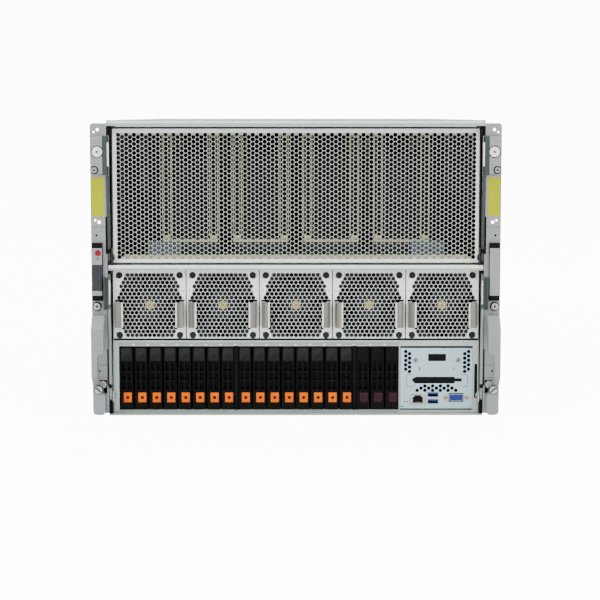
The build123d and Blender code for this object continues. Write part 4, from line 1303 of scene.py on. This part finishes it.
    def housings(self):
        """The two housings with their plates, and the power button in the left one."""
        y = EAR_Y
        x, z = self.button
        for name, low_x, high_x in (("left", -239.9, -227.5), ("right", 227.5, 239.9)):
            case = block((low_x, y - 5.2, 138.1), (high_x, y, 206.2))
            rounded(case, "Z", 1.2, 3, where=lambda c: c.y < y - 1)
            if name == "left":
                cut(case, rod((x, y - 6, z), 3.45, 16, "Y", 32))
            done(case, f"ear_housing_{name}", "band", "housing_plastic", "chassis", "ear_housings")
            for side, k, low, high, paint in self.plates:
                if side != name:
                    continue
                face = soften(block((low_x + 0.3, y - 7.0, low), (high_x - 0.3, y - 4.8, high)), 0.7, 3)
                if low < z < high and name == "left":
                    cut(face, rod((x, y - 6, z), 3.45, 16, "Y", 32))
                    cut(face, rod((-232.8, y - 6, 187.9), 1.1, 6, "Y", 16))
                done(face, f"housing_face_{name}_{k}", paint, "housing_plastic", "chassis", "ear_housings")
        cap = rod((x, y - 5.5, z), 3.2, 6.0, "Y", 40)
        soften(faces(cap, "-Y", inset(0.7), inset(0.5, -0.3)), 0.3, 2, 40)
        done(cap, "power_cap", "red", "button_red", "power_button", "power_button")

    def execute(self, context):
        both(self.ear(), "ear", "ear", "ear_metal", "chassis", "rack_ears")
        seams = join(*self.seam_bars(0.2, 0.12, 0.4))
        both(seams, "ear_seams", "shaded", "ear_metal", "chassis", "rack_ears")
        both(self.label(), "label", "label", "ear_metal", "chassis")
        self.screws()
        # Painted shade: black blocks behind the holes and window, in corners and in gaps
        for name, *corners in self.darks:
            piece = block(*((x, EAR_Y + y, z) for x, y, z in corners))
            both(piece, name, "black", "housing_plastic", "chassis")
        self.housings()
        return {"FINISHED"}


class SERVER_OT_handles(bpy.types.Operator):
    """Makes the cast pull handles at the foot of the ears"""

    bl_idname = "server.handles"
    bl_label = "Pull handles"

    outer = 239.7
    inner = 225.0
    foot = 3.0
    top = 121.4
    reach = 28
    low_reach = 14
    # Corners of the outline: place and radius
    corners = (
        (225.0, 77.5, 4.5),
        (228.2, 38.5, 2.5),
        (225.0, 3.0, 4.0),
        (239.7, 3.0, 5.0),
        (239.7, 121.4, 2.0),
    )

    def handle(self):
        """Block moved to its side outline, then hollowed for the fingers and waisted from inside."""
        y, inner = EAR_Y, self.inner
        body = block((inner, y - self.reach, self.foot), (self.outer, y, self.top))
        slice_at(body, "Z", 39.0, 51.0, 107.4)
        for point in body.data.vertices:
            if point.co.y < (y - 1) * MM and not 50 < point.co.z / MM < 108:
                point.co.y = (y - self.low_reach) * MM
        waist = block((inner - 5, y - 40, 38.5), (inner + 7.4, y + 5, 77.5))
        rounded(waist, "Y", 4.5, 5, where=lambda c: c.x > inner)
        step = block((inner - 5, y - 40, 27.5), (inner + 3.2, y + 5, 50.0))
        rounded(step, "Y", 2.5, 4, where=lambda c: c.x > inner and c.z < 30)
        gap = block((inner - 5, y - 17, 44.0), (self.outer + 5, y + 5, 96.0))
        rounded(gap, "X", 5.0, 5, where=lambda c: c.y < y - 1)
        for tool in (waist, step, gap):
            cut(body, tool, "MANIFOLD")
        for x, z, radius in self.corners:
            rounded(body, "Y", radius, 5, where=lambda c: abs(c.x - x) < 0.2 and abs(c.z - z) < 0.3)
        soften(body, 1.4, 3, 40)
        boss = rod((self.outer - 7.4, y - self.reach - 0.1, 85.6), 4.1, 1.4, "Y", 36)
        soften(faces(boss, "-Y", inset(0.7), inset(0.2, -0.25)), 0.25, 2, 50)
        cut(body, rod((RACK_X, y - 7, RACK_LOW), 3.5, 30, "Y", 24), "MANIFOLD")
        return join(body, boss)

    def execute(self, context):
        both(self.handle(), "pull_handle", "cast", "cast_metal", "chassis", "ear_handles")
        return {"FINISHED"}


class SERVER_OT_levers(bpy.types.Operator):
    """Makes the ejector levers of both trays with their bent grips and rivets"""

    bl_idname = "server.levers"
    bl_label = "Ejector levers"

    inner = 218.8
    sheet = 2.9
    # Each lever: height of its rivet, length above it and length of its grip
    upper = (188.2, 143.2, 46.8)
    lower = (23.3, 142.0, 38.0)
    catch = (236.0, 291.8)
    notches = 16

    def arm(self, pivot, length, grip):
        """Tapered arm from the rivet up to the grip."""
        y = EAR_Y
        face = self.inner + self.sheet
        arm = block((self.inner, y + 1, pivot - 6), (face, y + 13, pivot + 6))
        rounded(arm, "X", 5.5, 6, where=lambda c: c.z < pivot)
        faces(arm, "Z", push(0, -3.0, length - grip - 6))
        faces(arm, "Z", push(0, 0, grip))
        for point in arm.data.vertices:
            if point.co.z / MM > pivot + length - grip - 1:
                point.co.y = min(point.co.y, (y + 3.0) * MM)
                if point.co.y < (y + 1) * MM:
                    point.co.y = (y - 3.5) * MM
        soften(arm, 0.4, 2)
        rivet = rod((face + 0.2, y + 7, pivot), 3.6, 1.0, "X", 28)
        pin = rod((self.inner - 1.6, y + 7, pivot), 2.5, 6.0, "X", 24)
        nut = rod((self.inner - 3.4, y + 7, pivot), 3.5, 1.0, "X", 24)
        return join(arm, soften(rivet, 0.3), pin, soften(nut, 0.2))

    def disc(self, front, radius, length, sides=40):
        """A disc round the catch screw."""
        x, z = self.catch
        return rod((x, EAR_Y - front, z), radius, length, "Y", sides)

    def upper_lever(self):
        """The arm of the upper lever with its folded edge."""
        y, (pivot, length, grip) = EAR_Y, self.upper
        arm = self.arm(pivot, length, grip)
        fold = block((220.4, y - 4.6, pivot + length - 45.5), (227.6, y - 2.5, pivot + length))
        for point in fold.data.vertices:
            if point.co.y / MM < y - 4 and point.co.x / MM > 225:
                point.co.x = 225.4 * MM
        return join(arm, soften(fold, 0.6, 3, 50))

    def plate(self):
        """The wide plate of the upper lever, cut round the rack screw, with its round tab."""
        y, (pivot, length, grip) = EAR_Y, self.upper
        top = pivot + length
        plate = block((self.inner, y - 3.5, top - grip), (self.inner + 21.5, y - 1.5, top))
        for point in plate.data.vertices:
            if point.co.z / MM < top - 46 and point.co.x / MM > self.inner + 4:
                point.co.z = 290.5 * MM
        rounded(plate, "Y", 4.0, 5, where=lambda c: c.x > self.inner + 20)
        cut(plate, rod((RACK_X, y - 2, RACK_HIGH), 7.3, 8, "Y", 48))
        soften(plate, 0.35, 2)
        return join(plate, soften(self.disc(2.4, 5.2, 1.9), 0.3))

    def catch_screw(self):
        """Knurled captive screw with a cross."""
        x, z = self.catch
        catch = self.disc(4.2, 3.4, 4.6, 32)
        for k in range(self.notches):
            angle = math.tau * k / self.notches
            middle = (x + 3.55 * math.cos(angle), EAR_Y - 4.2, z + 3.55 * math.sin(angle))
            cut(catch, rod(middle, 0.35, 8, "Y", 6))
        for bar in cross(x, z, EAR_Y - 8, EAR_Y - 5.4, 2.0, 1.0):
            cut(catch, bar)
        return soften(catch, 0.2, 1, 50)

    def grip(self):
        """The bent grip of the lower lever."""
        y, top = EAR_Y, self.lower[0] + self.lower[1]
        grip = block((self.inner, y - 3.5, top - self.lower[2]), (self.inner + 7.6, y - 1.5, top))
        slice_at(grip, "X", self.inner + 5.6)
        faces(grip, "-Y", push(0, -6.5, 0), where=lambda c: c.x > self.inner + 5.6)
        rounded(grip, "X", 2.5, 4, where=lambda c: c.y < y - 9)
        return soften(grip, 0.4, 2)

    def execute(self, context):
        x, z = self.catch
        y = EAR_Y
        # Painted highlights: bright strips on the edges of the lever grips
        upper_highlight = soften(block((218.9, y - 4.9, 296.0), (220.9, y - 2.5, 324.0)), 0.8, 4)
        lower_highlight = soften(block((219.0, y - 4.1, 133.5), (220.6, y - 2.5, 162.0)), 0.6, 4)
        feet = [block((218.6, y + 0.2, low), (221.9, y + 4.0, low + 4.6)) for low in (194.0, 33.2)]
        collar = faces(self.disc(3.6, 4.7, 0.6, 36), "-Y", inset(0.7), inset(0.2, -0.3))
        for piece, name, body, paint in (
            (self.upper_lever(), "lever", "gpu_lever", "shaded"),
            (self.plate(), "plate", "gpu_lever", "ear"),
            (self.catch_screw(), "catch", "gpu_lever", "screw"),
            (collar, "collar", "gpu_lever", "band"),
            (self.arm(*self.lower), "lever", "system_lever", "lever"),
            (self.grip(), "grip", "system_lever", "shaded"),
            (upper_highlight, "edge", "gpu_lever", "lip"),
            (lower_highlight, "edge", "system_lever", "lip"),
            # Painted shade: a black floor in the catch screw's cross
            (cross_floor(x, z, y - 5.55, 2.0, 1.0), "cross", "gpu_lever", "black"),
            (feet[0], "foot", "gpu_lever", "black"),
            (feet[1], "foot", "system_lever", "black"),
        ):
            for side, made in (("left", mirrored(piece)), ("right", piece)):
                done(made, f"{body}_{name}_{side}", paint, "ear_metal", f"{body}_{side}", f"{body}_{side}")
        return {"FINISHED"}


class SERVER_OT_gpus(bpy.types.Operator):
    """Makes the GPU baseboard, its eight finned modules and their pale frames"""

    bl_idname = "server.gpus"
    bl_label = "GPU modules"

    columns = (-128.6, -42.8, 42.8, 128.6)
    row_pitch = 190.0
    first = -349.5
    foot = 187.1
    fins = 15
    fin_pitch = 3.0
    rib_pitch = 2.6

    def board(self):
        """The baseboard on its pegs, with a connector in each column."""
        y, z = self.first, self.foot
        board = faces(block((-175.1, y, z - 2), (175.1, y + 380, z)), "Z", inset(4.0), inset(0.3, 0.05))
        pegs = [(x, dy, 0) for x in (-169.6, 0, 169.6) for dy in (11, 369)]
        connector = faces(block((-22, y + 158, z), (22, y + 166, 194)), "Z", inset(1.5), push(0, 0, -4))
        connectors = scattered(connector, [(x, 0, 0) for x in self.columns])
        return join(board, scattered(rod((0, y, z - 4), 3.0, 4.0, "Z", 6), pegs), connectors)

    def cooler(self):
        """Base, fins and heat pipes of one module."""
        y, z = self.first, self.foot
        base = faces(block((-34, y, z), (34, y + 150, z + 20)), "Z", inset(2.0), inset(0.4, 0.8))
        soften(base, 0.8, 2)
        fin = block((-0.35, y + 6, z + 20), (0.35, y + 146, z + 122))
        rounded(fin, "X", 3.0, 3, where=lambda c: c.z > z + 100)
        fins = scattered(fin, [((k - self.fins // 2) * self.fin_pitch, 0, 0) for k in range(self.fins)])
        pipe = rod((0, y + 76, z + 60), 3.0, 46, "X", 16)
        pipes = scattered(pipe, [(0, dy, dz) for dy in (-40, 0, 40) for dz in (-22, 22)])
        return join(base, fins, pipes)

    def posts(self):
        """The pale posts, rail and feet before one module."""
        y = self.first
        post = faces(block((23.0, y, 209.0), (34.0, y + 13, 331.0)), "-Y", inset(1.1), inset(0.1, -5.0))
        soften(post, 0.3, 1, 50)
        rail = soften(block((-34.0, y - 1.2, 202.0), (34.0, y + 3, 205.0)), 0.6, 2)
        foot = soften(block((24.0, y - 1.0, 205.5), (33.0, y + 6, 210.0)), 0.5, 2)
        return join(post, mirrored(post), rail, foot, mirrored(foot))

    def side_block(self):
        """The ribbed block at the board's right edge."""
        y = self.first
        body = block((139.4, y - 4, self.foot), (180.4, y + 12, 203.5))
        soften(faces(body, "-Y", inset(1.0), inset(0.3, -0.6)), 0.5, 2, 50)
        rib = block((141.4, y - 4.4, 189), (142.2, y - 3.8, 201.5))
        return join(body, scattered(rib, [(k * self.rib_pitch, 0, 0) for k in range(15)]))

    def execute(self, context):
        y = self.first
        about = ("gpu_tray", "gpu_modules")
        done(self.board(), "gpu_board", "board", "circuit_board", *about)
        places = [(x, r * self.row_pitch, 0) for x in self.columns for r in range(2)]
        # Painted shade: black blocks in the posts' recesses
        lining = block((24.4, y + 1.2, 210.4), (32.6, y + 4.8, 329.6))
        # Painted shade: a near-black wall behind the modules, so no light shows from the rear
        baffle = block((-213.0, y + 385, 184.0), (213.0, y + 387, 338.0))
        faces(baffle, "-Y", inset(12.0), inset(0.5, -0.6))
        for piece, name, paint in (
            # Painted shade: the coolers are near black
            (scattered(self.cooler(), places), "gpu_coolers", "sink"),
            (scattered(self.posts(), places), "gpu_frames", "cream"),
            (baffle, "shade_baffle", "black"),
            (scattered(join(lining, mirrored(lining)), places), "gpu_post_recess_shade", "black"),
        ):
            done(piece, name, paint, "heatsink_aluminium", *about)
        both(self.side_block(), "side_block", "ice", "heatsink_aluminium", *about)
        return {"FINISHED"}


class SERVER_OT_rear(bpy.types.Operator):
    """Makes the rear wall with its bays, vents and slot covers, and the six power supplies"""

    bl_idname = "server.rear"
    bl_label = "Rear wall"

    psu_side = 181.75
    psu_pitch = 42.0
    psu_first = 22.3
    psu_half = 36.75
    bay_half = 37.05
    bay_height = 40.3
    cage_front = 156.5
    fan_bay_half = 40.3
    slot_pitch = 20.32
    slots = 8
    vent_pitch = 5.4
    vent_rise = 6.2

    def opening(self, x, half, foot, height):
        """A cutter for a bay in the wall."""
        return block((x - half, REAR_Y - 3, foot), (x + half, REAR_Y + 2, foot + height))

    def vents(self, middle, columns, rows, foot):
        """Places of a staggered field of vents."""
        return [
            (middle + (c - (columns - 1) / 2) * self.vent_pitch, 0, foot + (r + c % 2 / 2) * self.vent_rise)
            for c in range(columns)
            for r in range(rows)
        ]

    def wall(self, sides):
        """Outer sheet with its bays and vent fields, and the cages behind it."""
        back = REAR_Y - SHEET
        sheet = block((-220.5, back, 2.0), (220.5, REAR_Y, 348.5))
        half = self.fan_bay_half
        bays = [(x, half, REAR_FAN_Z - half, 2 * half) for x in FAN_X]
        for x in (-self.psu_side, self.psu_side):
            bays += [(x, self.bay_half, 2.3 + row * self.psu_pitch, self.bay_height) for row in range(3)]
        for bay in bays:
            cut(sheet, self.opening(*bay), "MANIFOLD")
        places = self.vents(0, 44, 4, 200.0)
        field = self.vents(self.psu_side, 12, 13, 150.0)
        places += [(side * x, y, z) for side in (-1, 1) for x, y, z in field]
        cut(sheet, scattered(rod((0, REAR_Y, 0), 2.2, 6, "Y", sides), places), "MANIFOLD")
        parts = [sheet]
        for side in (-1, 1):
            parts.append(block((side * 144.4, self.cage_front, 2.0), (side * 143.0, back, 128.0)))
            for row in (1, 2):
                z = 2.0 + row * self.psu_pitch
                parts.append(block((side * 144.0, self.cage_front, z - THIN), (side * 220.0, back, z)))
        parts.append(block((-220.4, 351.5, 250.5), (220.4, back, 251.6)))
        return join(*parts)

    def slot_covers(self, sides):
        """Eight bent covers with rows of holes, and the screws at their heads."""
        cover = rounded(block((-9.2, REAR_Y, 30.0), (9.2, REAR_Y + 1.0, 148.0)), "Y", 1.5, 3)
        hole = rod((0, REAR_Y, 0), 1.6, 6, "Y", sides)
        holes = [(dx, 0, 44 + 5.0 * r) for dx in (-5, 0, 5) for r in range(18)]
        cut(cover, scattered(hole, holes), "MANIFOLD")
        soften(cover, 0.25, 1, 50)
        screw = rod((0, REAR_Y + 1.5, 143.0), 3.2, 1.2, "Y", 24)
        faces(screw, "Y", inset(0.8, 0.2), inset(0.8, -0.5))
        moves = [((k - (self.slots - 1) / 2) * self.slot_pitch, 0, 0) for k in range(self.slots)]
        return scattered(cover, moves), scattered(screw, moves)

    def case(self):
        """Case of a power supply with its fan vents, a hollow for the socket and an edge connector."""
        y = REAR_Y
        case = rounded(block((-self.psu_half, y - 265, -20), (self.psu_half, y, 20)), "Y", 0.8)
        places = [((c - 3) * 4.2 - 18.4, 0, (r - 3.5 + c % 2 / 2) * 4.4) for c in range(7) for r in range(8)]
        cut(case, scattered(rod((0, y, 0), 1.7, 8, "Y", 8), places), "MANIFOLD")
        cut(case, block((5.0, y - 15.5, -14.5), (32.0, y + 1, 4.6)), "MANIFOLD")
        return join(case, block((-18.4, y - 275, -1), (18.4, y - 265, 1)))

    def supply(self):
        """The pieces of one power supply, round x = 0 and z = 0, each with its kind and paint."""
        y = REAR_Y
        socket = block((5.0, y - 15.0, -14.5), (32.0, y + 0.4, 4.6))
        rounded(socket, "Y", 4.0, where=lambda c: c.z < 0)
        well = block((8.0, y - 12.0, -12.2), (29.0, y + 2, 2.4))
        cut(socket, rounded(well, "Y", 3.0, where=lambda c: c.z < 0))
        blade = soften(block((-0.9, y - 12.5, -2.2), (0.9, y - 2.0, 2.2)), 0.2, 1)
        blades = scattered(blade, [(12.5, 0, -4.0), (24.5, 0, -4.0), (18.5, 0, -7.6)])
        bar = block((-20.9, y - 0.5, -15.0), (-15.9, y + 22.0, 15.0))
        cut(bar, block((-24, y - 3, -10.0), (-12, y + 17.0, 10.0)))
        rounded(bar, "X", 4.0, 5, where=lambda c: c.y > y + 20)
        latch = block((33.0, y - 1.0, 8.0), (35.5, y + 9.0, 18.0))
        rounded(latch, "X", 3.0, 4, where=lambda c: c.y > y + 8)
        return (
            # Painted shade: the supply case is near black
            (self.case(), "case", "sink"),
            (soften(socket, 0.3, 1, 50), "socket", "black"),
            (blades, "pins", "screw"),
            (soften(bar, 0.8, 3, 40), "handle", "band"),
            (soften(latch, 0.4), "release", "orange"),
            (rod((10.0, y + 0.1, 12.0), 1.3, 0.6, "Y", 20), "lamp", "lamp"),
        )

    def execute(self, context):
        sides = context.scene.server_sizes.hole_sides
        covers, screws = self.slot_covers(sides)
        surround = block((-83.0, REAR_Y - 0.05, 26.0), (83.0, REAR_Y + 0.25, 151.5))
        for piece, name, paint, slot in (
            (self.wall(sides), "rear_wall", "galvanised", "galvanised_sheet"),
            (surround, "slot_surround", "band", "galvanised_sheet"),
            (covers, "slot_covers", "galvanised", "galvanised_sheet"),
            (screws, "slot_screws", "screw", "screw_steel"),
        ):
            done(piece, name, paint, slot, "chassis", "rear_panel")
        for model, kind, paint in self.supply():
            for n in range(6):
                place = ((n % 2 * 2 - 1) * self.psu_side, 0, self.psu_first + n // 2 * self.psu_pitch)
                node = f"psu_{n + 1}"
                done(copied(model, place), f"supply_{n + 1}_{kind}", paint, "galvanised_sheet", node, node)
            bpy.data.objects.remove(model)
        return {"FINISHED"}


class SERVER_OT_trim(bpy.types.Operator):
    """Adds the shelf edge painted as a highlight, the cover's screws and the fine details of the chassis"""

    bl_idname = "server.trim"
    bl_label = "Chassis trim"

    bay_left = -212.0
    bay_right = 123.4
    cover_low = 348.5
    cover_top = 350.0
    cover_lip = 6.4
    cover_half = 222.0
    # Pressed lines across the cover: lowest and highest corner
    grooves = (((-150, -300), (150, -296)), ((-150, 120), (150, 124)), ((-212, 20), (212, 20.6)))

    def strip(self, low_x, high_x, low_z, high_z, front=0.1):
        """A thin strip on the front of the system tray."""
        return block((low_x, PANEL_Y - front, low_z), (high_x, PANEL_Y + 0.2, high_z))

    def nubs(self):
        """A small nub over each gap between two carriers, painted as a highlight."""
        middles = [x + CARRIER_PITCH / 2 for x in CARRIER_X[:-1]]
        nubs = [block((x - 1.6, PANEL_Y - 0.5, 83.4), (x + 1.6, PANEL_Y, 84.6)) for x in middles]
        return soften(join(*nubs), 0.2, 1)

    def cover(self, places):
        """The top cover with its folded front lip, screw holes and pressed lines."""
        low, top = self.cover_low, self.cover_top
        cover = block((-self.cover_half, EAR_Y, low), (self.cover_half, REAR_Y, top))
        slice_at(cover, "Y", EAR_Y + SHEET)
        faces(cover, "-Z", push(0, 0, -self.cover_lip), where=lambda c: c.y < EAR_Y + SHEET)
        rounded(cover, "X", 1.2, 4, where=lambda c: c.y < EAR_Y + 0.1 and c.z > top - 1)
        for side in (-1, 1):
            cut(cover, block((side * 211.0, EAR_Y - 1, 340.0), (side * 222.1, EAR_Y + 2.5, 343.2)))
        cut(cover, scattered(rod((0, 0, top), 3.6, 1.4, "Z", 32), places), "MANIFOLD")
        for corner, far in self.grooves:
            cut(cover, block((*corner, top - 0.5), (*far, top + 1)), "MANIFOLD")
        return cover

    def execute(self, context):
        left, right = self.bay_left, self.bay_right
        seams = [(k - 1.5) * FAN_PITCH for k in range(4)]
        fan_seams = [block((x - 0.5, FAN_Y + 0.7, 91.2), (x + 0.5, FAN_Y + 1.3, 172.2)) for x in seams]
        gaps = [(CARRIER_X[k] + CARRIER_X[k + 1]) / 2 for k in (7, 15)]
        dividers = join(*(self.strip(x - 2.1, x + 2.1, 5.0, 82.4) for x in gaps))
        for piece, name, paint in (
            # Painted shade: black strips for the shadow under the fan row, in the gaps between fan modules
            # and between carrier groups, and in the frame's slot
            (self.strip(-216.8, 216.8, 88.9, 90.6, 0.15), "fan_row_line", "black"),
            (join(*fan_seams), "fan_seams", "black"),
            (rounded(self.strip(212.8, 216.4, 19.2, 60.7, 0.15), "Y", 1.6, 4), "frame_slot", "black"),
            # Painted shade: the rail strip is darker grey-green for the top rail in shade
            (self.strip(left, right, 83.0, 86.8), "drive_bay_rail", "lever"),
            (self.nubs(), "drive_bay_nubs", "lip"),
            (dividers, "drive_bay_dividers", "black"),
            (self.strip(left, right, 3.4, 4.2, 0.12), "drive_bay_line", "shaded"),
        ):
            done(piece, name, paint, "galvanised_sheet", "system_tray")
        # Painted highlight: the shelf edge is near white
        lip = block((-220.4, EAR_Y + 1.7, 176.0), (220.4, EAR_Y + 2.1, 179.6))
        rounded(lip, "X", 0.3, where=lambda c: c.y < EAR_Y + 1.8)
        done(lip, "shelf_edge", "lip", "galvanised_sheet", "chassis")
        stud = faces(rod((222.2, 0, 0), 3.4, 1.0, "X", 24), "X", inset(0.8, 0.3), inset(0.9, -0.3))
        places = [(0, dy, z) for dy in (-340, -180, -20, 140, 300, 400) for z in (60, 290)]
        both(scattered(stud, places), "side_studs", "screw", "screw_steel", "chassis")
        places = [(x, dy, 0) for x in (-205, 0, 205) for dy in (-395, 0, 395)]
        done(self.cover(places), "cover_sheet", "cover", "galvanised_sheet", "chassis", "top_cover")
        # Painted highlight along the cover's front top edge
        edge = block((-219.0, EAR_Y - 0.06, 346.4), (219.0, EAR_Y + 0.3, 348.6))
        done(edge, "cover_edge_highlight", "edge", "galvanised_sheet", "chassis", "top_cover")
        screw = faces(rod((0, 0, 349.5), 3.1, 0.6, "Z", 24), "Z", inset(0.5), inset(0.6, -0.3))
        done(scattered(screw, places), "cover_screws", "screw", "screw_steel", "chassis", "top_cover")
        return {"FINISHED"}


class SERVER_PT_parts(bpy.types.Panel):
    """Lists the server's pieces"""

    bl_idname = "SERVER_PT_parts"
    bl_label = "Server"
    bl_space_type = "VIEW_3D"
    bl_region_type = "UI"
    bl_category = "Server"

    def draw(self, context):
        for step in STEPS:
            self.layout.operator(step.bl_idname)
        for group in (context.scene.server_stage, context.scene.server_sizes):
            for key in group.__annotations__:
                self.layout.prop(group, key)


STEPS = (
    SERVER_OT_stage,
    SERVER_OT_sheet_metal,
    SERVER_OT_grille,
    SERVER_OT_fans,
    SERVER_OT_carriers,
    SERVER_OT_ports,
    SERVER_OT_ears,
    SERVER_OT_handles,
    SERVER_OT_levers,
    SERVER_OT_gpus,
    SERVER_OT_rear,
    SERVER_OT_trim,
)
CLASSES = (ServerStage, ServerSizes, *STEPS, SERVER_PT_parts)


def register():
    for item in CLASSES:
        bpy.utils.register_class(item)
    bpy.types.Scene.server_stage = bpy.props.PointerProperty(type=ServerStage)
    bpy.types.Scene.server_sizes = bpy.props.PointerProperty(type=ServerSizes)


def unregister():
    del bpy.types.Scene.server_stage
    del bpy.types.Scene.server_sizes
    for item in reversed(CLASSES):
        bpy.utils.unregister_class(item)


def main():
    register()
    for step in STEPS:
        family, call = step.bl_idname.split(".")
        getattr(getattr(bpy.ops, family), call)()


if __name__ == "__main__":
    main()
